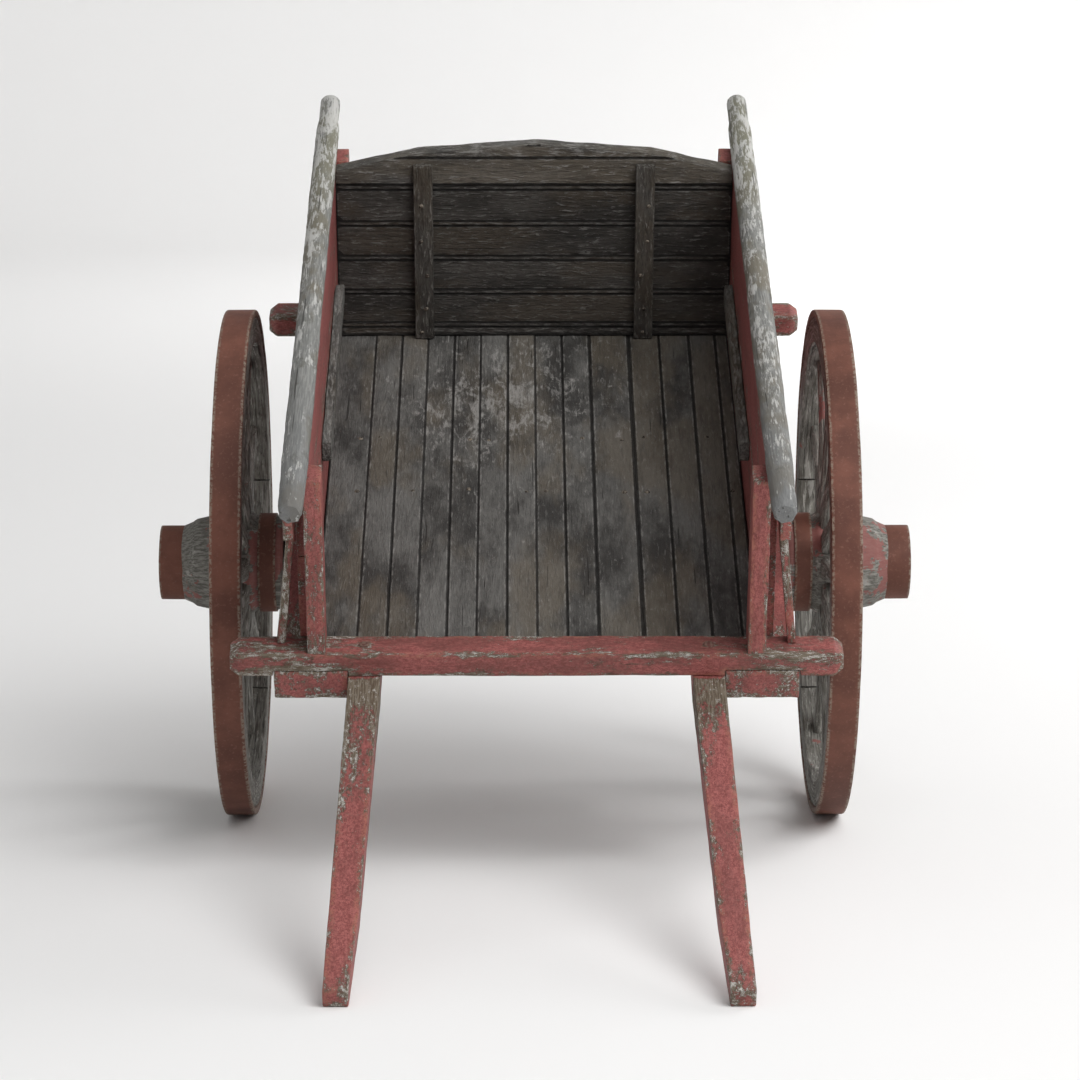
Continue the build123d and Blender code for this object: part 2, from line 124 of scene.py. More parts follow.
bpy.ops.mesh.primitive_circle_add(vertices=96, radius=FLOOR_RADIUS, fill_type="NGON")
cove = bpy.context.object
cove.name = "studio_cove"
bpy.ops.object.mode_set(mode="EDIT")
bpy.ops.mesh.select_mode(type="EDGE")
bpy.ops.mesh.select_all(action="SELECT")
turn = math.pi / 2 / CURVE_STEPS
reach = FLOOR_RADIUS
for step in range(CURVE_STEPS):
    out = CURVE_RADIUS * (math.sin((step + 1) * turn) - math.sin(step * turn))
    up = CURVE_RADIUS * (math.cos(step * turn) - math.cos((step + 1) * turn))
    bpy.ops.mesh.extrude_edges_move(TRANSFORM_OT_translate={"value": (0, 0, up)})
    grow = (reach + out) / reach
    bpy.ops.transform.resize(value=(grow, grow, 1), center_override=(0, 0, 0))
    reach += out
bpy.ops.mesh.extrude_edges_move(TRANSFORM_OT_translate={"value": (0, 0, WALL_HEIGHT)})
bpy.ops.object.mode_set(mode="OBJECT")
bpy.ops.object.shade_smooth()

paper = bpy.data.materials.new("pale_paper")
paper.use_nodes = True
paper_shader = paper.node_tree.nodes["Principled BSDF"]
paper_shader.inputs["Base Color"].default_value = (0.86, 0.855, 0.85, 1)
paper_shader.inputs["Roughness"].default_value = 0.9
cove.data.materials.append(paper)
print("cove faces:", len(cove.data.polygons), "radius", round(reach, 2))

# %% [markdown]
# ## The light
# The light is that of a bright white room: an even fill, a very soft sun from the front right, and
# three panels on the right, so that the left side and the far floor there stay a little darker. A
# single hard lamp would be simpler, but its one sharp shadow would hide the wheels. The panels are
# hidden from the camera, so they can hang close.

# %% Hang the lights
def soft_panel(name, place, target, size, power):
    """A square area light that looks at a target."""
    lamp = bpy.data.lights.new(name, "AREA")
    lamp.shape = "SQUARE"
    lamp.size = size
    lamp.energy = power
    holder = bpy.data.objects.new(name, lamp)
    holder.location = place
    holder.rotation_euler = (Vector(target) - Vector(place)).to_track_quat("-Z", "Y").to_euler()
    holder.visible_camera = False
    bpy.context.scene.collection.objects.link(holder)


SUN_STRENGTH, SUN_SPREAD = 0.55, math.radians(60)
SUN_WAY = Vector((-0.35, 0.55, -1.0))
FILL_STRENGTH = 0.325
soft_panel("key_panel", (3.2, -4.2, 5.2), (0, 0.3, 0.4), 4.6, 365)
soft_panel("side_panel", (4.4, 3.0, 2.8), (0.8, 3.4, 0.0), 2.4, 120)
soft_panel("far_panel", (5.4, 10.5, 4.5), (3.4, 12.5, 0.0), 3.0, 600)
sun = bpy.data.lights.new("soft_sun", "SUN")
sun.energy, sun.angle = SUN_STRENGTH, SUN_SPREAD
sun_holder = bpy.data.objects.new("soft_sun", sun)
sun_holder.rotation_euler = SUN_WAY.to_track_quat("-Z", "Y").to_euler()
bpy.context.scene.collection.objects.link(sun_holder)
world = bpy.data.worlds.new("studio_fill")
bpy.context.scene.world = world
world.use_nodes = True
fill = world.node_tree.nodes["Background"].inputs
fill["Color"].default_value = (1, 1, 1, 1)
fill["Strength"].default_value = FILL_STRENGTH
bpy.context.scene.view_settings.view_transform = "Standard"
print("lights:", [light.name for light in bpy.data.lights])

# %% [markdown]
# ## Shader maths as plain expressions
# Weathered finishes mix many small patterns, and drawing each Math node by hand hides the idea.
# A wire wraps one output socket, so that `bare * 0.4 + edge` adds its own Math nodes. Anything
# that isn't arithmetic comes from one method, which takes a node's type, its settings and what
# goes into its sockets.

# %% A wire that does arithmetic
class Wire:
    """One output of a shader node. Arithmetic on wires adds Math nodes."""

    def __init__(self, tree, socket=None):
        self.tree = tree
        self.socket = socket

    def node(self, kind, settings=None, values=None, out=0):
        """Adds a node: its settings first, then its sockets, and returns one of its outputs."""
        made = self.tree.nodes.new(kind)
        for key, value in (settings or {}).items():
            if key == "stops":
                for place, colour in value[2:]:
                    made.color_ramp.elements.new(place)
                for element, (place, colour) in zip(made.color_ramp.elements, value):
                    element.position = place
                    element.color = (*colour, 1)
            else:
                setattr(made, key, value)
        for key, value in (values or {}).items():
            if isinstance(value, Wire):
                self.tree.links.new(value.socket, made.inputs[key])
            else:
                made.inputs[key].default_value = value
        return Wire(self.tree, made.outputs[out] if made.outputs else None)

    def maths(self, operation, first, second):
        return self.node("ShaderNodeMath", {"operation": operation}, {0: first, 1: second})

    def __add__(self, other):
        return self.maths("ADD", self, other)

    def __sub__(self, other):
        return self.maths("SUBTRACT", self, other)

    def __rsub__(self, other):
        return self.maths("SUBTRACT", other, self)

    def __mul__(self, other):
        return self.maths("MULTIPLY", self, other)

    __radd__ = __add__
    __rmul__ = __mul__

    def cloud(self, scale, detail=4.0, rough=0.6, twist=0.0):
        """Soft noise on these coordinates, about 0.5 on average."""
        return self.node("ShaderNodeTexNoise", {}, {
            "Vector": self, "Scale": scale, "Detail": detail, "Roughness": rough,
            "Distortion": twist})

    def streaks(self, drawn_out, *settings):
        """The same noise, drawn out along the grain: the smaller the first number, the longer."""
        return self.node("ShaderNodeVectorMath", {"operation": "MULTIPLY"},
                         {0: self, 1: (drawn_out, 1, 1)}).cloud(*settings)

    def between(self, low, high):
        """0 below low and 1 above high, with a soft step between them."""
        return self.node("ShaderNodeMapRange", {"interpolation_type": "SMOOTHSTEP"},
                         {"Value": self, "From Min": low, "From Max": high})

    def blend(self, under, over):
        """Mixes two colours, with this wire as the share of the second."""
        under, over = [value if isinstance(value, Wire) else (*value, 1) for value in (under, over)]
        return self.node("ShaderNodeMix", {"data_type": "RGBA"},
                         {0: self, 6: under, 7: over}, out=2)


def coats(colour, *layers):
    """Lays coats over a colour. Each is where it shows, how much of it, and its own colour."""
    for where, share, tone in layers:
        colour = (where * share).blend(colour, tone)
    return colour


print("the wire's own calls:", [name for name in vars(Wire) if not name.startswith("__")])

# %% [markdown]
# ## Finishes
# Every piece carries three measured attributes: `grain`, its own coordinates with the first along
# the fibres, `edge`, the distance to its nearest arris in metres, and `rubbed`, how hard that spot
# was used. A finish that reads those follows a slanting brace or a bent felloe as well as a
# straight board, which object coordinates alone couldn't do. The function below joins colour,
# roughness and height into one shader, with the height as fine bump only, because real shape
# belongs in the mesh.

# %% Put a finish together
def finish(name, pattern, bump_depth):
    """Makes a material from a pattern function that returns colour, roughness and height."""
    made = bpy.data.materials.new(name)
    made.use_nodes = True
    made.node_tree.nodes.clear()
    start = Wire(made.node_tree)
    measured = [start.node("ShaderNodeAttribute", {"attribute_name": attribute}, out=out)
                for attribute, out in (("grain", "Vector"), ("edge", "Fac"), ("rubbed", "Fac"))]
    colour, roughness, height = pattern(*measured)
    bump = start.node("ShaderNodeBump", {}, {
        "Height": height, "Strength": 1.0, "Distance": bump_depth})
    shader = start.node("ShaderNodeBsdfPrincipled", {}, {
        "Base Color": colour, "Roughness": roughness, "Normal": bump, "Specular IOR Level": 0.3})
    start.node("ShaderNodeOutputMaterial", {}, {"Surface": shader})
    return made


def fibres(grain, fineness, drawn_out=0.035):
    """Thin streaks along the grain."""
    return grain.streaks(drawn_out, fineness, 4, 0.65)


# %% [markdown]
# ### Chipped red paint
# The frame was painted a strong red, which chalked to a dull pink-red and came off in patches. It
# could be one noise between two colours, but real paint fails in three ways at once: it wears
# through along edges, it flakes in broad patches, and it is peppered with small chips. So three
# clouds of different size are added with the nearness of an edge, and the sum is cut by a
# threshold. Inside the bare patches, olive-grey wood shows, with pale primer at the flakes.

# %% Red paint
RED_DEEP = (0.185, 0.046, 0.042)
RED_CHALK = (0.385, 0.130, 0.119)
RED_EDGE_WEAR_AND_HIGHLIGHT = (0.43, 0.175, 0.115)
GRIME = (0.080, 0.036, 0.029)
WOOD_OLIVE = (0.090, 0.064, 0.042)
WOOD_GREY = (0.190, 0.160, 0.122)
PRIMER = (0.56, 0.55, 0.52)


def red_paint_pattern(wear, dirt=0.0):
    """The paint's pattern. A wear of 0 is nearly whole and 0.1 is mostly gone. Dirt dulls it."""
    def pattern(grain, edge, rubbed):
        patches = grain.streaks(0.28, 26, 5, 0.62, 0.3)
        chips = grain.streaks(0.45, 140, 4, 0.78)
        pepper = grain.cloud(620, 3, 0.75)
        fibre = fibres(grain, 620, 0.045)
        near_edge = 1 - edge.between(0.0, 0.012)
        failing = patches * 0.68 + chips * 0.52 + pepper * 0.30 + near_edge * 0.085 + rubbed + wear
        bare = failing.between(0.860, 0.890)
        thin = failing.between(0.78, 0.86)
        mottle = grain.streaks(0.6, 240, 5, 0.85) * 0.6 + pepper * 0.4
        grime = grain.streaks(0.35, 22, 6, 0.78).between(0.45 - dirt * 0.25, 0.62)
        paint = coats(mottle.between(0.42, 0.58).blend(RED_DEEP, RED_CHALK),
                      (fibre.between(0.50, 0.64), 0.30, RED_DEEP),
                      (grime * pepper.between(0.36, 0.60), 0.45 + dirt, GRIME),
                      # brighter orange-red along the arrises: partly worn paint, partly a painted
                      # highlight where the edges catch the light
                      (near_edge * 0.6, chips.between(0.42, 0.58), RED_EDGE_WEAR_AND_HIGHLIGHT))
        wood = fibre.between(0.38, 0.62).blend(WOOD_OLIVE, WOOD_GREY)
        flakes = grain.streaks(0.35, 210, 4, 0.7) - rubbed * 0.55
        core = failing.between(0.885, 0.950)
        primer = (flakes * 0.6 + pepper * 0.4 + core * 0.035).between(0.525, 0.590) * bare
        colour = coats(paint, (bare * 0.80 + thin * 0.20, 1, wood), (primer, 0.70, PRIMER))
        roughness = 0.58 + bare * 0.24 + mottle * 0.10
        height = 1 - bare * 0.7 + fibre * 0.45 + pepper * 0.25
        return colour, roughness, height
    return pattern


red_paint = finish("red_paint_chipped", red_paint_pattern(0.014), 0.0012)
red_paint_worn = finish("red_paint_worn_through", red_paint_pattern(0.068, 0.05), 0.0012)
red_paint_dirty = finish("red_paint_dirty", red_paint_pattern(0.036, 0.33), 0.0012)
print("paint nodes:", len(red_paint.node_tree.nodes))

# %% [markdown]
# ### Silver-grey poles
# The top rails are bare poles, bleached silver with long fibres, brownish stains and pale flecks
# where the surface has lifted. Fibres give the tone, a slow cloud adds stains, and stretched
# flecks are laid over them.

# %% Bleached pole
POLE_GREY = (0.155, 0.157, 0.150)
POLE_LIGHT = (0.245, 0.245, 0.232)
POLE_STAIN = (0.150, 0.130, 0.095)
POLE_FLECK = (0.50, 0.495, 0.475)
POLE_SMOOTH = (0.138, 0.143, 0.151)
POLE_OLIVE = (0.185, 0.180, 0.135)
POLE_MOSS = (0.075, 0.068, 0.050)
POLE_CRACK = (0.05, 0.048, 0.042)


def pole_pattern(grain, edge, rubbed):
    fibre = fibres(grain, 420, 0.06)
    stain = grain.streaks(0.5, 12, 5, 0.65)
    moss = grain.streaks(0.5, 33, 5, 0.7)
    lifted = grain.streaks(0.30, 44, 5, 0.66, 0.5)
    fine = grain.streaks(0.14, 260, 4, 0.70)
    flecked = (lifted * 0.6 + fine * 0.5 - rubbed * 0.4).between(0.560, 0.64)
    cracks = grain.streaks(0.03, 150, 2, 0.4).between(0.66, 0.72)
    colour = coats(fibre.between(0.38, 0.62).blend(POLE_GREY, POLE_LIGHT),
                   (stain.between(0.46, 0.60), 0.75, POLE_STAIN),
                   (moss.between(0.56, 0.66), 0.55, POLE_MOSS),
                   (rubbed.between(0.0, 0.26), 1, POLE_SMOOTH),
                   ((0 - rubbed).between(0.0, 0.16), stain.between(0.40, 0.52), POLE_OLIVE),
                   (flecked, 0.85, POLE_FLECK),
                   (cracks, 0.7, POLE_CRACK))
    height = fibre * 0.8 + flecked * 0.5 + moss * 0.4 - cracks * 1.2
    return colour, 0.78 - flecked * 0.1, height


bleached_pole = finish("bleached_pole", pole_pattern, 0.0012)

# %% [markdown]
# ### Dark bed and headboard boards
# The boards were painted dark and then trodden pale. Their fibres are fine and crisp, the raised
# grain carries a painted highlight, scuffs cross them, and dirt stays dark beside the joints. One
# pattern serves floor and headboard with two palettes, because both are the same beaded boarding.

# %% Dark boards
BROWNER = (1.0, 0.84, 0.64)
JOINT_DIRT = (0.010, 0.009, 0.008)


def board_pattern(dark, middle, pale, scuff, relief_and_painted_light):
    """Boarding in three tones. The scuff says how much of the surface is rubbed pale, and the
    relief how far the hard grain stands up from the soft, and how strongly the raised grain
    is painted with a highlight and the low grain darker."""
    def pattern(grain, edge, rubbed):
        fibre = fibres(grain, 640, 0.07)
        coarse = fibres(grain, 170, 0.09)
        crackle = grain.streaks(0.20, 210, 5, 0.74, 0.4)
        tone = grain.streaks(0.40, 10, 7, 0.72)
        hue = grain.streaks(0.4, 6.5, 4, 0.6)
        swirl = grain.streaks(0.5, 30, 7, 0.72, 1.2)
        brown = [value * tint for value, tint in zip(middle, BROWNER)]
        worn = (swirl * 0.62 + crackle * 0.38 + rubbed).between(0.60 - scuff, 0.72 - scuff)
        light_line = (1 - edge.between(0.0020, 0.0042)) * crackle.between(0.46, 0.58)
        cracks = grain.streaks(0.025, 230, 2, 0.4).between(0.71, 0.75)
        colour = coats(tone.between(0.36, 0.62).blend(dark, middle),
                       (hue.between(0.46, 0.60), 0.5, brown),
                       (coarse.between(0.50, 0.66), 0.35, dark),
                       # painted highlight on the raised grain, and a darker low grain, both scaled
                       # by the relief
                       (1 - crackle.between(0.36, 0.45), relief_and_painted_light * 0.7, dark),
                       (worn, 0.65, pale),
                       (crackle.between(0.555, 0.64), relief_and_painted_light * 0.7, pale),
                       (light_line, 0.40, pale),
                       (1 - edge.between(0.0004, 0.0019), 0.85, JOINT_DIRT),
                       (cracks, 0.7, JOINT_DIRT))
        height = fibre * 0.5 + coarse * 0.3 + crackle * (0.5 + relief_and_painted_light * 1.4) + swirl * 0.4
        return colour, 0.66 + worn * 0.14, height - cracks
    return pattern


trodden_boards = finish("trodden_bed_boards", board_pattern(
    (0.050, 0.048, 0.045), (0.162, 0.159, 0.149), (0.40, 0.39, 0.37), 0.01, 0.28), 0.0050)
dark_boards = finish("dark_headboard_boards", board_pattern(
    (0.050, 0.045, 0.040), (0.122, 0.112, 0.100), (0.34, 0.33, 0.31), -0.05, 0.80), 0.0110)
arch_boards = finish("paler_arch_board", board_pattern(
    (0.095, 0.089, 0.080), (0.255, 0.246, 0.228), (0.52, 0.505, 0.475), -0.03, 0.85), 0.0110)
dark_battens = finish("dark_headboard_battens", board_pattern(
    (0.065, 0.059, 0.051), (0.175, 0.164, 0.145), (0.42, 0.40, 0.37), -0.04, 0.95), 0.0120)

# %% [markdown]
# ### Wheel timber and iron
# Spokes and felloes are grey oak with deep fibres and a little of the red paint left. The tyres
# and hoops are iron with an even, matte brown rust, a shade lighter where the road or a hand
# polishes it. Iron has no grain, so its cloud isn't stretched.

# %% Wheel timber and iron
OAK_DARK = (0.105, 0.100, 0.088)
OAK_GREY = (0.235, 0.228, 0.205)
OAK_STAIN = (0.085, 0.075, 0.058)
OAK_CRACK = (0.035, 0.032, 0.028)
OAK_SPLIT = (0.030, 0.028, 0.025)
OAK_PALE = (0.42, 0.41, 0.38)
OAK_FLECK = (0.50, 0.49, 0.45)
OAK_PAINT = (0.24, 0.085, 0.075)
EDGE_SCALE = (0.27, 0.235, 0.185)


def wheel_wood_pattern(paint_left, crack_share):
    """Bare oak. The first number adds red paint, the second says how split the surface is."""
    def pattern(grain, edge, rubbed):
        fibre = fibres(grain, 330, 0.045)
        coarse = fibres(grain, 95, 0.06)
        stain = grain.cloud(14, 4, 0.6)
        splits = grain.streaks(0.12, 230, 4, 0.75)
        deep = coarse.between(0.58, 0.66) * crack_share
        pale = grain.streaks(0.2, 70, 3, 0.6).between(0.58, 0.66)
        patches = grain.cloud(11, 4, 0.65) + grain.cloud(90, 3, 0.7) * 0.35
        painted = patches.between(0.745 - paint_left, 0.775 - paint_left)
        colour = coats(fibre.between(0.38, 0.62).blend(OAK_DARK, OAK_GREY),
                       (stain.between(0.5, 0.66), 0.5, OAK_STAIN),
                       (deep, 0.7, OAK_CRACK),
                       (pale, 0.55, OAK_PALE),
                       (splits.between(0.555, 0.64), 0.60 * crack_share, OAK_FLECK),
                       (1 - splits.between(0.36, 0.43), 0.70 * crack_share, OAK_SPLIT),
                       (painted, 0.85, OAK_PAINT))
        height = fibre * 0.8 - deep * 1.3 * (1 - painted * 0.7) + painted * 0.3
        return colour, 0.82 - painted * 0.12, height
    return pattern


def iron_pattern(dark, rust, bright):
    """Iron in two tones of rust, brighter where it is pitted and along its edges."""
    def pattern(grain, edge, rubbed):
        bloom = grain.cloud(9, 5, 0.6)
        pits = grain.cloud(190, 4, 0.65)
        streak = grain.streaks(0.25, 45, 4, 0.6)
        polish = (1 - edge.between(0.0, 0.0035)) * pits.between(0.42, 0.56)
        colour = coats(bloom.between(0.34, 0.66).blend(dark, rust),
                       (streak.between(0.42, 0.66), 0.35, dark),
                       (pits.between(0.55, 0.68), 0.4, bright),
                       (polish, 0.7, EDGE_SCALE))
        return colour, 0.62 + pits * 0.15, pits * 0.6 + streak * 0.5
    return pattern


grey_oak = finish("grey_oak_wheel", wheel_wood_pattern(-0.10, 1.0), 0.0012)
nave_oak = finish("grey_oak_nave", wheel_wood_pattern(0.055, 0.2), 0.0005)
tyre_iron = finish("rusted_tyre_iron", iron_pattern(
    (0.098, 0.038, 0.026), (0.172, 0.068, 0.046), (0.22, 0.11, 0.085)), 0.0005)
nail_iron = finish("dull_nail_iron", iron_pattern(
    (0.014, 0.011, 0.010), (0.030, 0.022, 0.018), (0.045, 0.033, 0.027)), 0.0004)
painted_iron = finish("iron_painted_over", iron_pattern(
    (0.060, 0.026, 0.020), (0.120, 0.042, 0.034), (0.20, 0.09, 0.07)), 0.0004)
print("finishes made:", len(bpy.data.materials))

# %% [markdown]
# ## Tools of the joiner
# A sawn timber starts as a cube at its size and place, its arrises are bevelled, and it is then
# cut into a grid of about nine millimetres, because chips and dips need points to move. The grid
# comes from subdividing only the edges that run along one axis, three times over. An operator acts
# on all that is selected, so one helper picks edges or faces by a test on their place.

# %% Selecting and cutting
ARRIS = 0.0022                # bevel of a sawn edge
GRID = 0.009                  # spacing of the points on a timber's faces
SAME_LENGTH = 2e-4            # edges that differ by less are cut together


def alone(piece):
    """Makes one object the only selected and active one."""
    bpy.ops.object.select_all(action="DESELECT")
    piece.select_set(True)
    bpy.context.view_layer.objects.active = piece


def edit(piece):
    alone(piece)
    bpy.ops.object.mode_set(mode="EDIT")


def done():
    bpy.ops.object.mode_set(mode="OBJECT")


def take_all():
    bpy.ops.mesh.select_all(action="SELECT")


def started(name):
    """Names the primitive that was just added, and makes its size and place its own."""
    piece = bpy.context.object
    piece.name = name
    bpy.ops.object.transform_apply()
    return piece


def pick(piece, kind, test):
    """In edit mode, selects the vertices, edges or faces that pass a test."""
    bpy.ops.mesh.select_mode(type=kind)
    bpy.ops.mesh.select_all(action="DESELECT")
    shape = bmesh.from_edit_mesh(piece.data)
    items = {"VERT": shape.verts, "EDGE": shape.edges, "FACE": shape.faces}[kind]
    for item in [item for item in items if test(item)]:
        item.select_set(True)
    shape.select_flush_mode()
    bmesh.update_edit_mesh(piece.data)


def runs_along(edge, axis):
    way = (edge.verts[1].co - edge.verts[0].co)
    return way.length > 1e-6 and abs(way[axis]) > 0.999 * way.length


def cut_grid(piece, axes=(0, 1, 2), spacing=GRID):
    """Subdivides the edges along each axis in turn, so that the faces become a grid."""
    edit(piece)
    for axis in axes:
        long_edges = {}
        shape = bmesh.from_edit_mesh(piece.data)
        for one in shape.edges:
            if runs_along(one, axis) and one.calc_length() > 1.5 * spacing:
                long_edges.setdefault(round(one.calc_length(), 4), True)
        for length in long_edges:
            pick(piece, "EDGE", lambda one: runs_along(one, axis)
                 and abs(one.calc_length() - length) < SAME_LENGTH)
            bpy.ops.mesh.subdivide(number_cuts=max(1, round(length / spacing) - 1))
    done()


def block(name, low, high):
    """A cube at its size and place, in the bed's axes."""
    bpy.ops.mesh.primitive_cube_add(size=1, location=(low + high) / 2)
    bpy.context.object.scale = high - low
    return started(name)


def bevel_all(piece, width, segments=2):
    edit(piece)
    take_all()
    bpy.ops.mesh.bevel(offset=width, segments=segments, affect="EDGES")
    done()


print("tools ready: block, bevel_all, cut_grid, pick")

# %% [markdown]
# ## Weathering a piece
# A sawn cube still looks new after its grid is cut. Here each piece first gets its `grain`, `edge`
# and `rubbed` attributes, then its points are pushed in: softly over the faces, so that the surface
# waves, and harder near the arrises, where years of knocks have taken splinters. It could be done
# with a Displace modifier, but that can't tell an arris from a face. The nearest arris is found
# with a tree of points laid along all sharp edges.

# %% Weather, stand up and hand over
random.seed(1857)
ARRIS_STEP = 0.004            # spacing of the marks along a sharp edge
KNOCK_SCALE = 55.0            # how fine the knocks are: the noise's own scale, per metre


def sharp_tree(piece, angle=math.radians(32)):
    """A search tree of points along the sharp edges of a piece."""
    shape = bmesh.new()
    shape.from_mesh(piece.data)
    marks, lines = [], []
    for one in shape.edges:
        if len(one.link_faces) == 2 and one.calc_face_angle(0) > angle:
            start, end = [vertex.co.copy() for vertex in one.verts]
            count = max(1, int((end - start).length / ARRIS_STEP))
            marks += [start.lerp(end, k / count) for k in range(count + 1)]
            lines += [(start, end)] * (count + 1)
    shape.free()
    tree = kdtree.KDTree(max(1, len(marks)))
    for number, mark in enumerate(marks):
        tree.insert(mark, number)
    tree.balance()
    return tree, lines


def arris_distance(point, arrises):
    """How far a point is from the nearest arris, measured to the line and not to a mark on it."""
    tree, lines = arrises
    if not lines:
        return 1.0
    start, end = lines[tree.find(point)[1]]
    nearest, share = geometry.intersect_point_line(point, start, end)
    nearest = start if share < 0 else end if share > 1 else nearest
    return (point - nearest).length


def set_grain(piece, along, arrises, curved=None, rubbed=None):
    """Stores the fibre coordinates, the distance to the nearest arris and the rubbing. A function
    in curved gives the coordinates of fibres that don't run straight along an axis."""
    shift = Vector([random.uniform(-40, 40) for _ in range(3)])
    order = [along, (along + 1) % 3, (along + 2) % 3]
    for name, kind in (("grain", "FLOAT_VECTOR"), ("edge", "FLOAT"), ("rubbed", "FLOAT")):
        piece.data.attributes.new(name, kind, "POINT")
    grain, edge, rub = [piece.data.attributes[name].data for name in ("grain", "edge", "rubbed")]
    for number, vertex in enumerate(piece.data.vertices):
        place = curved(vertex.co) if curved else Vector([vertex.co[axis] for axis in order])
        grain[number].vector = place + shift
        edge[number].value = arris_distance(vertex.co, arrises)
        rub[number].value = rubbed(vertex.co) if rubbed else 0.0


def push_in(piece, wave, knock, only=None, reach=0.011, wave_scale=9.0):
    """Moves the points inwards: waves over the faces, knocks near the arrises.
    With only, they move along that axis alone, so that neighbouring boards stay tight."""
    mesh = piece.data
    edges = mesh.attributes["edge"].data
    grains = mesh.attributes["grain"].data
    directions = [vertex.normal.copy() for vertex in mesh.vertices]
    for number, vertex in enumerate(mesh.vertices):
        here = grains[number].vector
        stretched = Vector((here.x * 0.45, here.y, here.z))
        slow = noise.noise(stretched * wave_scale) * 0.7
        slow += noise.noise(stretched * wave_scale * 3.1) * 0.3
        near = max(0.0, 1 - edges[number].value / reach)
        hit = max(0.0, noise.noise(stretched * KNOCK_SCALE) + 0.12)
        hit += 0.8 * max(0.0, noise.noise(stretched * KNOCK_SCALE * 0.3) - 0.12)
        move = directions[number] * (wave * (slow + 0.5) + knock * near * near * hit)
        if only is not None:
            move = Vector([move[axis] if axis == only else 0 for axis in range(3)])
        vertex.co -= move
    mesh.update()


def stand_up(piece, matrix=bed_to_cart):
    piece.data.transform(matrix)
    piece.data.update()


def hand_over(piece, finish_used, body, stands_for, angle=35):
    """Gives a finished piece its material, shading and body, and hides the CAD nodes it stands for.
    """
    alone(piece)
    bpy.ops.object.shade_smooth_by_angle(angle=math.radians(angle))
    piece.data.materials.clear()
    piece.data.materials.append(finish_used)
    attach(piece, body)
    if stands_for:
        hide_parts(*stands_for)


def to_cart(piece, finish_used, slot, *stands_for, angle=35):
    """Stands a level piece up on the sloping bed, and hands it over as part of the cart."""
    stand_up(piece)
    hand_over(piece, finish_used, "cart", stands_for, angle)


def sawn(name, low, high, along, knock, arris=ARRIS, spacing=GRID):
    """A sawn timber, bevelled, gridded and weathered, still lying level in the bed's axes."""
    piece = block(name, low, high)
    arrises = sharp_tree(piece)
    bevel_all(piece, arris)
    cut_grid(piece, spacing=spacing)
    set_grain(piece, along, arrises)
    push_in(piece, FACE_WAVE, knock)
    return piece


X, Y, Z = 0, 1, 2
SIDES = ("left", "right")
ENDS = ("tail", "head")
FACE_WAVE = 0.0006            # how far a sawn face has moved out of flat
print("weathering ready")

# %% [markdown]
# ## Plain sawn timbers
# Sills, side boards, outer boards, cleats and battens are straight sawn pieces, so one loop makes
# them all. Each row of the table names the CAD node, the axis that its fibres follow, its finish,
# its slot and how deep its knocks are. The outer boards and the sills are more worn than the rest.

# %% Sawn timbers of the body
SAWN = (("sill", Y, red_paint_worn, "red_painted_wood", 0.0020),
        ("side_board_lower", Y, red_paint, "red_painted_wood", 0.0018),
        ("side_board_upper", Y, red_paint, "red_painted_wood", 0.0018),
        ("rave_board", Y, red_paint_worn, "red_painted_wood", 0.0035),
        ("side_cleat", Y, arch_boards, "grey_weathered_wood", 0.0020),
        ("headboard_batten", Z, dark_battens, "headboard_wood", 0.0008))
for side in SIDES:
    for stem, along, finish_used, slot, knock in SAWN:
        node = f"{stem}_{side}"
        to_cart(sawn(node + "_timber", *bed_box(node), along, knock), finish_used, slot, node)
for node, knock, arris in (("axle_tree", 0.004, 0.006), ("axle_bolster", 0.003, 0.004)):
    timber = sawn(node + "_timber", *bed_box(node), X, knock, arris, 0.014)
    to_cart(timber, red_paint_worn, "axle_wood", node)
print("sawn timbers:", len(SAWN) * len(SIDES) + 2)

# %% [markdown]
# ## Posts and rear battens
# The posts stand on the crossbars with a tenon below their foot. A block of the CAD's whole height
# would pass through the bar, so each post gets a block of its own, which stops just under the bar's
# top. The two battens behind the headboard are one CAD node, so they are made apart and joined.

# %% Posts on the crossbars, and the battens behind the headboard
for end in ENDS:
    bar_top = bed_box(f"crossbar_{end}")[1].z
    for side in SIDES:
        low, high = bed_box(f"post_{end}_{side}")
        low.z = bar_top - 0.0015
        post = sawn(f"post_{end}_{side}_timber", low, high, Z, 0.0022)
        to_cart(post, red_paint, "red_painted_wood", f"post_{end}_{side}")

rear_low, rear_high = bed_box("headboard_rear_battens")
rear_pieces = []
for side in SIDES:
    low, high = bed_box(f"headboard_batten_{side}")
    low.y, low.z, high.y, high.z = rear_low.y, rear_low.z, rear_high.y, rear_high.z
    rear_pieces.append(sawn(f"rear_batten_{side}", low, high, Z, 0.002))


def join(pieces, name):
    """Joins pieces into the first one and names it."""
    bpy.ops.object.select_all(action="DESELECT")
    for piece in pieces:
        piece.select_set(True)
    bpy.context.view_layer.objects.active = pieces[0]
    bpy.ops.object.join()
    pieces[0].name = name
    return pieces[0]


to_cart(join(rear_pieces, "rear_battens_pair"), dark_battens, "headboard_wood",
        "headboard_rear_battens")
print("posts and rear battens stand")

# %% [markdown]
# ## Boards with a bead
# Floor and headboard are matched boards, each with a fine moulded groove down its face as well as
# the joint beside it, which is why the floor seems to be made of narrow strips. A bump would
# vanish at a low angle, so the groove is real: planes cut the board along its line and at two
# distances either side of it, and the middle line is sunk. The outer cuts keep the shading flat up
# to the groove. One seam of the floor has shrunk open, so its two arrises are cut back further.

# %% Cut a bead and lay the floor
BEAD_WIDTH, BEAD_DEPTH = 0.0014, 0.0022
BOARD_ARRIS = 0.0010
TONGUE = 0.00035                # each board reaches this far towards its neighbour


def unit(axis):
    return Vector([float(number == axis) for number in range(3)])


def cut_at(point, axis):
    """In edit mode, cuts the whole piece with a plane across an axis."""
    take_all()
    bpy.ops.mesh.bisect(plane_co=point, plane_no=unit(axis))


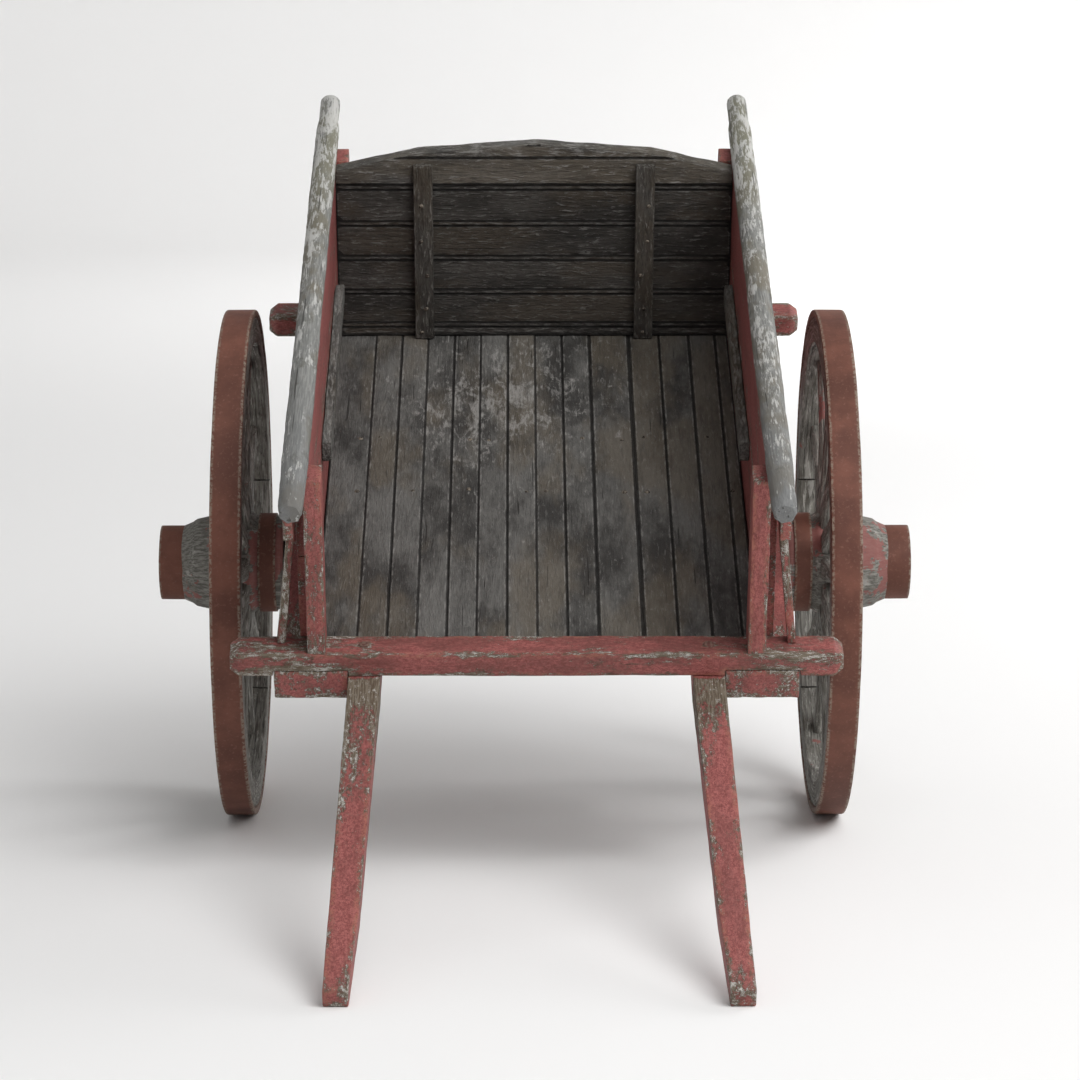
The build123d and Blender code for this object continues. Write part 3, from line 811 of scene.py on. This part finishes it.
def bead(piece, axis, place, face_axis, face_sign, low, high):
    """Sinks a V groove at one place along an axis, on the face that looks along face_axis."""
    edit(piece)
    for offset in (-3, -1, 0, 1, 3):
        point = (low + high) / 2
        point[axis] = place + offset * BEAD_WIDTH
        cut_at(point, axis)
    top = high[face_axis] if face_sign > 0 else low[face_axis]
    pick(piece, "VERT", lambda one: abs(one.co[axis] - place) < 1e-4
         and abs(one.co[face_axis] - top) < 0.0012)
    bpy.ops.transform.translate(value=unit(face_axis) * -face_sign * BEAD_DEPTH)
    done()


def beaded_board(name, low, high, along, across, beads, face_axis, face_sign, knock, seam=0.0,
                 rubbed=None):
    """A matched board: block, arrises, beads, grid and weather, lying level."""
    low[across] -= TONGUE
    high[across] += TONGUE
    piece = block(name, low, high)
    bevel_all(piece, BOARD_ARRIS + seam, 1)
    for place in beads:
        bead(piece, across, place, face_axis, face_sign, low, high)
    arrises = sharp_tree(piece, math.radians(20))
    cut_grid(piece, axes=(along, across), spacing=0.011)
    set_grain(piece, along, arrises, rubbed=rubbed)
    push_in(piece, 0.0012, knock, only=face_axis, reach=0.006)
    return piece


floor_top = bed_box("floor_board_1")[1].z


def tread_wear_and_side_shade(point):
    """The bed is rubbed palest left of its middle and stays dark below. Towards its sides it is
    rubbed less, so it is painted darker there, as shade from the side boards.
    """
    if point.z < floor_top - 0.008:
        return -0.03
    pale_spot = math.exp(-((point.x + 0.06) / 0.20) ** 2 - ((point.y - 0.25) / 0.26) ** 2)
    # painted shade: less rubbing towards both sides makes the floor darker next to the side boards
    return 0.140 * pale_spot - 0.03 * max(0.0, abs(point.x) / 0.34 - 0.55)


OPEN_SEAM = {6: 0.0024, 7: 0.0016}  # the boards beside the open seam, and how much wider they gape
BEADED_BOARDS = (2, 3, 4, 5, 7)     # the boards that have a bead down the middle
FLOOR_BOARDS = 8
for number in range(1, FLOOR_BOARDS + 1):
    node = f"floor_board_{number}"
    low, high = bed_box(node)
    beads = [(low.x + high.x) / 2] if number in BEADED_BOARDS else []
    if number == FLOOR_BOARDS:
        beads = [high.x - 0.022]
    board = beaded_board(node + "_worn", low, high, Y, X, beads, Z, 1, 0.0020,
                         OPEN_SEAM.get(number, 0.0), tread_wear_and_side_shade)
    board.data.transform(Matrix.Translation((0, 0, random.uniform(-0.0012, 0))))
    to_cart(board, trodden_boards, "bed_boards", node)
print("floor boards laid:", FLOOR_BOARDS)

# %% [markdown]
# ## The headboard's planks
# Five of the same boards lie crosswise in the headboard. They need nothing new: the fibres run
# across the cart, the beads look towards the tail, and each sits near the top edge of its plank.

# %% Nail up the headboard
STRAIGHT_PLANKS = 5
for number in range(1, STRAIGHT_PLANKS + 1):
    node = f"headboard_plank_{number}"
    low, high = bed_box(node)
    plank = beaded_board(node + "_worn", low, high, X, Z, [high.z - 0.009], Y, -1, 0.0016)
    to_cart(plank, dark_boards, "headboard_wood", node)
print("headboard planks up:", STRAIGHT_PLANKS)

# %% [markdown]
# ## Timbers that aren't plain boxes
# The arched plank, the notched crossbars, the tapering shafts and the leaning braces have shapes
# that the CAD already holds exactly. Each is taken as a copy of its CAD mesh, merged, cleaned of
# the triangles across its flat faces, and laid level. From there it is handled as any timber:
# arrises bevelled, a grid cut through it by parallel planes, and weather.

# %% Timbers from the CAD's own shape
def from_cad(node, name):
    """A clean, merged copy of a CAD node, laid level."""
    piece = bpy.data.objects.new(name, nodes[node].data.copy())
    bpy.context.scene.collection.objects.link(piece)
    piece.data.transform(cart_to_bed)
    edit(piece)
    if piece.data.has_custom_normals:
        bpy.ops.mesh.customdata_custom_splitnormals_clear()
    take_all()
    bpy.ops.mesh.remove_doubles(threshold=0.0001)
    bpy.ops.mesh.dissolve_limited(angle_limit=math.radians(1.5))
    bpy.ops.mesh.normals_make_consistent(inside=False)
    done()
    return piece


def slice_grid(piece, spacing=GRID, axes=(0, 1, 2)):
    """Cuts a piece with parallel planes along each axis, so that its faces become a grid."""
    corners = [Vector(corner) for corner in piece.bound_box]
    low, high = corners[0], corners[6]
    edit(piece)
    for axis in axes:
        count = max(1, int((high[axis] - low[axis]) / spacing))
        for step in range(1, count):
            cut_at(low.lerp(high, step / count), axis)
    done()


def bevel_sharp(piece, width, angle=math.radians(28)):
    """Bevels the edges that are sharper than an angle."""
    edit(piece)
    pick(piece, "EDGE", lambda one: len(one.link_faces) == 2 and one.calc_face_angle(0) > angle)
    bpy.ops.mesh.bevel(offset=width, segments=2, affect="EDGES")
    done()


def shaped(node, along, finish_used, slot, knock=0.003, wave=0.0008, rubbed=None, groove_at=None):
    """A weathered timber that follows the CAD's shape, perhaps with one groove along its front."""
    piece = from_cad(node, node + "_timber")
    if groove_at:
        bead(piece, Z, groove_at, Y, -1, *bed_box(node))
    arrises = sharp_tree(piece)
    bevel_sharp(piece, ARRIS)
    slice_grid(piece, 0.010)
    set_grain(piece, along, arrises, rubbed=rubbed)
    push_in(piece, wave, knock)
    to_cart(piece, finish_used, slot, node)


tail_bar_y = bed_box("crossbar_tail")[0].y


def shaft_rubbed(point):
    """Bare where rope and knees rub just outside the crossbar, and at a few hand holds."""
    by_bar = max(0.0, 1 - (tail_bar_y - point.y) / 0.17) if point.y < tail_bar_y else 0
    slow = noise.noise(Vector((point.x * 4, point.y * 6, 3.1)))
    return 0.20 * min(1.0, by_bar * 1.6) + 0.07 * max(0.0, slow)


def bar_rubbed(point):
    """Worn over the sills, where the bar was knocked, and along its lower front edge."""
    over_sill = max(0.0, 1 - abs(abs(point.x) - 0.37) / 0.13)
    low_edge = max(0.0, 1 - (point.z - 0.137) / 0.016)
    return 0.060 * over_sill + 0.045 * low_edge


arch_line = bed_box("headboard_plank_6")[1].z - 0.025
print("arch groove at", round(arch_line, 3), "above the bed")
shaped("headboard_plank_6", X, arch_boards, "headboard_wood", groove_at=arch_line,
       rubbed=lambda point: 0.15 if point.z > arch_line - 0.002 else 0.0)
for end in ENDS:
    shaped(f"crossbar_{end}", X, red_paint_dirty, "red_painted_wood", knock=0.0016,
           rubbed=bar_rubbed)
for side in SIDES:
    shaped(f"shaft_{side}", Y, red_paint, "red_painted_wood", knock=0.0010, wave=0.0003,
           rubbed=shaft_rubbed)
    shaped(f"braces_{side}", Z, red_paint_worn, "red_painted_wood", knock=0.0018)
print("shaped timbers: arch, crossbars, shafts, braces")

# %% [markdown]
# ## The top rails
# Each rail is a peeled pole, not a turned rod: its outline swells and dips, its near end is cut
# with a few facets and its far end is cut down to a neck. A cylinder is sliced into rings, and
# the rings are moved by slow noise. Where the pole sits on the side boards it is flattened.

# %% Two peeled poles
POLE_SIDES = 36
NECK_LENGTH = 0.082
NECK_RADIUS = 0.0178
NECK_SLOPE = 0.036
END_FACETS = 7
SEAT_LOW, SEAT_HIGH = [corner.y for corner in bed_box("rave_board_left")]


def handled(share):
    """Smooth where it was held, at the near end, and weathered towards the far end."""
    return 0.13 * max(0.0, 1 - share / 0.40) - 0.16 * max(0.0, (share - 0.45) / 0.55)


def pole(side):
    low, high = bed_box(f"top_rail_{side}")
    seat = bed_box(f"side_board_upper_{side}")[1].z
    middle = (low + high) / 2
    radius = (high.x - low.x) / 2
    middle.z = high.z - radius
    bpy.ops.mesh.primitive_cylinder_add(vertices=POLE_SIDES, radius=radius, depth=high.y - low.y,
                                        location=middle, rotation=(math.pi / 2, 0, 0))
    piece = started(f"top_rail_{side}_pole")
    edit(piece)
    pick(piece, "EDGE", lambda one: len({round(v.co.y, 4) for v in one.verts}) == 1)
    bpy.ops.mesh.bevel(offset=0.0035, segments=1, affect="EDGES")
    pick(piece, "FACE", lambda face: abs(face.normal.y) > 0.99)
    bpy.ops.mesh.inset(thickness=0.006)
    bpy.ops.mesh.inset(thickness=0.004)
    done()
    slice_grid(piece, 0.009, axes=(1,))
    seed = Vector([random.uniform(-30, 30) for _ in range(3)])
    for vertex in piece.data.vertices:
        point = vertex.co
        out = Vector((point.x - middle.x, 0, point.z - middle.z))
        share = out.length / radius
        along = Vector((0, point.y, 0)) + seed
        around = Vector((out.x, 0, out.z)).normalized() * 0.06
        swell = 1 - 0.05 * max(0.0, noise.noise(along * 5) + 0.35)
        swell -= 0.075 * max(0.0, noise.noise((along + around) * 14) + 0.05)
        swell -= 0.040 * (noise.noise((along + around * 1.5) * 42) + 0.3)
        if point.y < low.y + 0.014:
            turn = math.atan2(out.z, out.x) % (2 * math.pi / END_FACETS) - math.pi / END_FACETS
            swell *= 0.99 * math.cos(math.pi / END_FACETS) / math.cos(turn)
        tip = min(1.0, (point.y - low.y) / 0.16)
        swell *= 0.90 + 0.10 * tip
        past_shoulder = point.y - (high.y - NECK_LENGTH - NECK_SLOPE)
        necked = min(1.0, max(0.0, past_shoulder / NECK_SLOPE))
        swell *= 1 + necked * (NECK_RADIUS / radius - 1)
        point.x = middle.x + out.x * swell
        point.z = middle.z + out.z * swell
        if point.z < seat and share > 0.5 and SEAT_LOW < point.y < SEAT_HIGH:
            point.z = seat
    piece.data.update()
    arrises = sharp_tree(piece, math.radians(40))
    set_grain(piece, Y, arrises, rubbed=lambda point: handled((point.y - low.y) / (high.y - low.y)))
    to_cart(piece, bleached_pole, "grey_weathered_wood", f"top_rail_{side}", angle=32)
    print(piece.name, len(piece.data.vertices), "points")


for side in SIDES:
    pole(side)

# %% [markdown]
# ## The wheels
# Wheelwright's wheels: a shrunk-on iron tyre, six felloes with two spokes each, and a turned nave
# bound by iron hoops. Rings are made by spinning a section round the axle, which gives clean
# loops for the rust to follow. Only the right wheel is modelled, and the left one is its mirror.

# %% Sections that are spun
def ring_size(node):
    """Both ends along the axle and the inner and outer radius of a CAD node round its hub."""
    points = [vertex.co - hub_right for vertex in nodes[node].data.vertices]
    radii = [math.hypot(point.y, point.z) for point in points]
    ends = [point.x for point in points]
    return min(ends), max(ends), min(radii), max(radii)


def section(name, x_low, x_high, inner, outer, corner, cuts):
    """A bevelled rectangle that stands above the axle, ready to be spun. It stays in edit mode."""
    bpy.ops.mesh.primitive_plane_add(size=1, rotation=(math.pi / 2, 0, 0),
                                     location=((x_low + x_high) / 2, 0, (inner + outer) / 2))
    bpy.context.object.scale = (x_high - x_low, outer - inner, 1)
    piece = started(name)
    edit(piece)
    take_all()
    bpy.ops.mesh.bevel(offset=corner, segments=2, affect="VERTICES")
    pick(piece, "EDGE", lambda one: one.calc_length() > 4 * corner)
    bpy.ops.mesh.subdivide(number_cuts=cuts)
    take_all()
    bpy.ops.mesh.dissolve_faces()
    take_all()
    return piece


def spin(steps, angle):
    """Spins the section round the axle, and makes all faces look outwards."""
    bpy.ops.mesh.spin(steps=steps, angle=angle, center=(0, 0, 0), axis=(1, 0, 0))
    take_all()
    bpy.ops.mesh.remove_doubles(threshold=0.0001)
    bpy.ops.mesh.normals_make_consistent(inside=False)
    done()


def spun_ring(name, node, corner, steps, cuts):
    """A full ring in the place of a CAD ring, centred on the world's origin."""
    piece = section(name, *ring_size(node), corner, cuts)
    bpy.ops.mesh.delete(type="ONLY_FACE")
    take_all()
    spin(steps, 2 * math.pi)
    return piece


hub_matrix = Matrix.Translation(hub_right)
mirror_matrix = Matrix.Translation(hub_left) @ Matrix.Scale(-1, 4, (1, 0, 0))


def both_wheels(piece, node, finish_used, angle=35):
    """Puts a finished wheel piece on the right hub, and its mirror image on the left one."""
    twin = bpy.data.objects.new(piece.name.replace("right", "left"), piece.data.copy())
    bpy.context.scene.collection.objects.link(twin)
    shift = Vector((7.3, -4.1, 2.9))
    for value in twin.data.attributes["grain"].data:
        value.vector = Vector(value.vector) + shift
    stand_up(piece, hub_matrix)
    stand_up(twin, mirror_matrix)
    edit(twin)
    take_all()
    bpy.ops.mesh.flip_normals()
    done()
    hand_over(piece, finish_used, "right_wheel", [f"{node}_right"], angle)
    hand_over(twin, finish_used, "left_wheel", [f"{node}_left"], angle)


# each row: the node, its corner, its steps and cuts, and how deep and how fine it waves
RINGS = (("wheel_tyre", 0.0028, 144, 4, 0.0006, 14),
         ("wheel_outer_hoop", 0.0016, 72, 3, 0.0006, 22),
         ("wheel_inner_hoop", 0.0016, 72, 3, 0.0005, 22))
for node, corner, steps, cuts, wave, wave_scale in RINGS:
    ring = spun_ring(f"{node}_right_iron", f"{node}_right", corner, steps, cuts)
    set_grain(ring, Y, sharp_tree(ring, math.radians(20)))
    push_in(ring, wave, 0.0, wave_scale=wave_scale)
    both_wheels(ring, node, tyre_iron)
print("tyres and hoops spun:", len(RINGS))

# %% [markdown]
# ### Felloes
# A felloe is sawn from a plank to a sixth of the rim, so its fibres run nearly straight and meet
# the next felloe at an open joint. Each sixth is spun from the same section, short of its full
# angle by the joint, then turned to its place. Its grain follows its own curve.

# %% Six felloes
FELLOE_COUNT = 6
FELLOE_STEPS = 30
FELLOE_JOINT = 0.0028
x_low, x_high, rim_inner, rim_outer = ring_size("wheel_felloes_right")
joint_angle = FELLOE_JOINT / rim_outer
sixth = 2 * math.pi / FELLOE_COUNT


def round_the_rim(place):
    """Coordinates that follow the rim: length round it, radius and place along the axle."""
    angle = math.atan2(place.y, place.z)
    radius = math.hypot(place.y, place.z)
    return Vector((angle * rim_inner, radius, place.x))


felloes = []
for number in range(FELLOE_COUNT):
    felloe = section(f"felloe_{number + 1}", x_low, x_high, rim_inner, rim_outer - 0.0004, 0.004, 4)
    spin(FELLOE_STEPS, sixth - joint_angle)
    angles = [math.atan2(vertex.co.y, vertex.co.z) for vertex in felloe.data.vertices]
    centre = (min(angles) + max(angles)) / 2
    felloe.data.transform(Matrix.Rotation(centre, 4, "X"))
    set_grain(felloe, Y, sharp_tree(felloe, math.radians(20)), round_the_rim)
    push_in(felloe, 0.0009, 0.0014, reach=0.008)
    felloe.data.transform(Matrix.Rotation((number + 0.25) * sixth, 4, "X"))
    felloes.append(felloe)
rim = join(felloes, "wheel_felloes_right_timber")
print("felloes centred, first at", round(math.degrees(centre), 2), "points", len(rim.data.vertices))
both_wheels(rim, "wheel_felloes", grey_oak)

# %% [markdown]
# ### Spokes
# A spoke is shaved from a cleft billet: square at the foot where it enters the nave, oval in the
# middle and a little wider again at the rim. One block is divided along its length, and its rings
# are drawn in. The twelve copies lean outwards a little, which is the dish of the wheel.

# %% Twelve spokes
SPOKE_COUNT = 12
SPOKE_FOOT = (0.038, 0.032)        # round the wheel, along the axle
SPOKE_NECK = (0.034, 0.026)
SPOKE_DISH = 0.008
FOOT_RADIUS = 0.078
rim_radius = rim_inner + 0.004
spoke_length = rim_radius - FOOT_RADIUS


def clamp(value):
    return max(0.0, min(1.0, value))


def shaved(share):
    """Width and roundness of a spoke from its foot, 0, to the rim, 1."""
    taper = 1 - 0.26 * math.sin(math.pi * clamp((share - 0.10) / 0.85))
    return taper, clamp((share - 0.10) / 0.14) * clamp((0.97 - share) / 0.06)


bpy.ops.mesh.primitive_cube_add(size=1, location=(0, 0, (FOOT_RADIUS + rim_radius) / 2))
bpy.context.object.scale = (SPOKE_FOOT[1], SPOKE_FOOT[0], spoke_length)
pattern_spoke = started("pattern_spoke")
edit(pattern_spoke)
pick(pattern_spoke, "EDGE", lambda one: runs_along(one, Z))
bpy.ops.mesh.bevel(offset=0.007, segments=3, affect="EDGES")
done()
slice_grid(pattern_spoke, 0.009, axes=(Z,))
slice_grid(pattern_spoke, 0.009, axes=(X, Y))
for vertex in pattern_spoke.data.vertices:
    point = vertex.co
    share = (point.z - FOOT_RADIUS) / spoke_length
    taper, roundness = shaved(share)
    half_x = (SPOKE_FOOT[1] + (SPOKE_NECK[1] - SPOKE_FOOT[1]) * share) / 2
    half_y = (SPOKE_FOOT[0] + (SPOKE_NECK[0] - SPOKE_FOOT[0]) * share) / 2
    across = Vector((point.x / (SPOKE_FOOT[1] / 2), point.y / (SPOKE_FOOT[0] / 2), 0))
    if across.length > 0:
        oval = across.normalized() * max(abs(across.x), abs(across.y))
        across = across.lerp(oval, roundness)
    point.x = across.x * half_x * taper + SPOKE_DISH * share
    point.y = across.y * half_y * taper
pattern_spoke.data.update()
spoke_arrises = sharp_tree(pattern_spoke, math.radians(30))

spokes = []
for number in range(SPOKE_COUNT):
    spoke = bpy.data.objects.new(f"spoke_{number + 1}", pattern_spoke.data.copy())
    bpy.context.scene.collection.objects.link(spoke)
    set_grain(spoke, Z, spoke_arrises)
    push_in(spoke, 0.0014, 0.002, reach=0.008, wave_scale=16)
    spoke.data.transform(Matrix.Rotation(number * 2 * math.pi / SPOKE_COUNT, 4, "X"))
    spokes.append(spoke)
bpy.data.objects.remove(pattern_spoke)
both_wheels(join(spokes, "wheel_spokes_right_timber"), "wheel_spokes", grey_oak, 50)
print("spokes:", SPOKE_COUNT, "reach radius", round(rim_radius, 3))

# %% [markdown]
# ### The nave
# The nave is turned, with a swelling belly where the spokes enter. Its outline is read ring by ring
# from the CAD, and a cylinder is sliced and drawn to it. One fine turned line marks each side of
# the spokes. The end faces are opened for the iron lining.

# %% Turn the nave
NAVE_SIDES = 64
NAVE_LINES = (-0.024, 0.030)
LINE_DEPTH, LINE_WIDTH = 0.0022, 0.0028
rings = {}
for vertex in nodes["wheel_nave_right"].data.vertices:
    point = vertex.co - hub_right
    key = round(point.x, 4)
    rings[key] = max(rings.get(key, 0), math.hypot(point.y, point.z))
stations = [(x, radius) for x, radius in sorted(rings.items()) if radius > 0.05]
nave_start, nave_end = stations[0][0], stations[-1][0]
box_radius = ring_size("wheel_nave_box_right")[3]


def nave_radius(x):
    """The CAD's outline at a place along the axle, with the two turned lines cut in."""
    radius = stations[-1][1]
    for (x0, r0), (x1, r1) in zip(stations, stations[1:]):
        if x0 <= x <= x1:
            radius = r0 + (r1 - r0) * (x - x0) / (x1 - x0)
            break
    for line in NAVE_LINES:
        radius -= LINE_DEPTH * max(0.0, 1 - abs(x - line) / LINE_WIDTH)
    return radius


bpy.ops.mesh.primitive_cylinder_add(vertices=NAVE_SIDES, radius=1, depth=nave_end - nave_start,
                                    location=((nave_start + nave_end) / 2, 0, 0),
                                    rotation=(0, math.pi / 2, 0))
nave = started("wheel_nave_right_turned")
slice_grid(nave, 0.0035, axes=(X,))
for vertex in nave.data.vertices:
    reach = nave_radius(vertex.co.x)
    vertex.co.y *= reach
    vertex.co.z *= reach
edit(nave)
pick(nave, "FACE", lambda face: abs(face.normal.x) > 0.99)
bpy.ops.mesh.inset(thickness=0.006)
bpy.ops.mesh.inset(thickness=stations[-1][1] - 0.006 - box_radius)
bpy.ops.mesh.delete(type="FACE")
take_all()
bpy.ops.mesh.normals_make_consistent(inside=False)
done()
set_grain(nave, X, sharp_tree(nave, math.radians(35)))
push_in(nave, 0.0010, 0.002, reach=0.006, wave_scale=20)
both_wheels(nave, "wheel_nave", nave_oak, 50)
print("nave from", nave_start, "to", nave_end, "widest", max(station[1] for station in stations))

# %% [markdown]
# ## Nails
# Hand-made nails hold the boards. A nail head is a small faceted dome, and it shows as a dark
# spot. Each head is a short cone with a raised top, a little different in size and turn, and the
# heads are set in rows where each board crosses a timber below it.

# %% Nail heads
NAIL_RADIUS = 0.0045


def nail_rows(name, places, normal):
    """Sets a nail head at each place, with its top along a normal, all in the bed's axes."""
    heads = []
    turn = Vector(normal).to_track_quat("Z", "Y").to_matrix().to_4x4()
    for place in places:
        bpy.ops.mesh.primitive_cone_add(vertices=9, radius1=NAIL_RADIUS, radius2=NAIL_RADIUS * 0.62,
                                        depth=0.0022, location=(0, 0, 0.0004))
        head = started("nail_head")
        edit(head)
        pick(head, "FACE", lambda face: face.normal.z > 0.9)
        bpy.ops.mesh.inset(thickness=NAIL_RADIUS * 0.25)
        bpy.ops.transform.translate(value=(0, 0, 0.0006))
        done()
        size = Matrix.Scale(random.uniform(0.85, 1.15), 4)
        twist = Matrix.Rotation(random.uniform(0, 3), 4, "Z")
        head.data.transform(Matrix.Translation(place) @ turn @ twist @ size)
        heads.append(head)
    group = join(heads, name)
    set_grain(group, Z, sharp_tree(group))
    to_cart(group, nail_iron, "forged_iron", angle=30)
    print(name, len(places))


floor_tail = bed_box("floor_board_1")[0].y
floor_places = []
for number in range(1, FLOOR_BOARDS + 1):
    low, high = bed_box(f"floor_board_{number}")
    for y in (floor_tail + 0.47, floor_tail + 0.648):
        x = random.choice((low.x + 0.016, high.x - 0.016))
        if number in OPEN_SEAM:
            x = high.x - 0.020 if number == min(OPEN_SEAM) else low.x + 0.017
        floor_places.append(Vector((x, y + random.uniform(-0.006, 0.006), floor_top - 0.0012)))
nail_rows("floor_nails", floor_places, (0, 0, 1))

batten_places = []
for side in SIDES:
    low, high = bed_box(f"headboard_batten_{side}")
    for number in range(1, STRAIGHT_PLANKS + 1):
        plank_low, plank_high = bed_box(f"headboard_plank_{number}")
        x = (low.x + high.x) / 2 + random.uniform(-0.006, 0.006)
        z = (plank_low.z + plank_high.z) / 2
        batten_places.append(Vector((x, low.y + 0.0006, z)))
nail_rows("batten_nails", batten_places, (0, -1, 0))

for side, sign in (("left", -1), ("right", 1)):
    side_places = []
    low, high = bed_box(f"rave_board_{side}")
    face = low.x if side == "left" else high.x
    for y in (low.y + 0.03, low.y + 0.32, (low.y + high.y) / 2, high.y - 0.32, high.y - 0.03):
        for z in (low.z + 0.025, high.z - 0.025):
            side_places.append(Vector((face - sign * 0.0008, y, z)))
    nail_rows(f"outer_board_nails_{side}", side_places, (sign, 0, 0))

# %% [markdown]
# ## Coach bolts
# The crossbars are bolted down through the shafts. In the CAD model each bolt has a plain disc for
# a head, but paint and wear have left low, rounded heads. So the CAD's bolts are taken as a copy,
# the discs on top of the crossbars are drawn in and their rims bevelled, and the shanks and the
# square nuts below stay as they are.

# %% Round the heads of the coach bolts
BOLT_HEAD = 0.0085
BOLT_RISE = 0.0019
bolts = from_cad("coach_bolts", "coach_bolts_painted")
bar_top = bed_box("crossbar_tail")[1].z
heads = {}
for vertex in bolts.data.vertices:
    if vertex.co.z > bar_top - 0.0005:
        heads.setdefault((vertex.co.x > 0, vertex.co.y > 0), []).append(vertex)
for head in heads.values():
    centre = sum((vertex.co for vertex in head), Vector()) / len(head)
    for vertex in head:
        out = Vector((vertex.co.x - centre.x, vertex.co.y - centre.y))
        if out.length > BOLT_HEAD:
            out *= BOLT_HEAD / out.length
            rise = BOLT_RISE if vertex.co.z > bar_top + 0.001 else -0.0012
            vertex.co = (centre.x + out.x, centre.y + out.y, bar_top + rise)
bolts.data.update()
edit(bolts)
pick(bolts, "EDGE", lambda one: all(abs(v.co.z - bar_top - BOLT_RISE) < 1e-4 for v in one.verts))
bpy.ops.mesh.bevel(offset=0.0022, segments=3, affect="EDGES")
done()
set_grain(bolts, Z, sharp_tree(bolts))
to_cart(bolts, painted_iron, "forged_iron", "coach_bolts", angle=40)
print("bolt heads rounded:", len(heads), "points:", [len(head) for head in heads.values()])

# %% [markdown]
# ## Ironwork that stays as the CAD made it
# The axle arms, nave linings and linchpins are plain turned iron, and the CAD's meshes already have
# their true shape. They only need a finish. They carry no grain attribute, so their pattern is laid
# by object coordinates, and the edge is taken to be far away.

# %% Finish the kept ironwork
def kept_iron_pattern(grain, edge, rubbed):
    forged = iron_pattern((0.022, 0.017, 0.015), (0.060, 0.040, 0.032), (0.13, 0.09, 0.07))
    return forged(grain.node("ShaderNodeTexCoord", out="Object"), edge + 1, rubbed)


kept_iron = finish("kept_forged_iron", kept_iron_pattern, 0.0004)
for node in ("axle_arm_left", "axle_arm_right", "linchpins",
             "wheel_nave_box_left", "wheel_nave_box_right"):
    for slot_used in nodes[node].material_slots:
        slot_used.material = kept_iron
print("kept ironwork finished")

# %% [markdown]
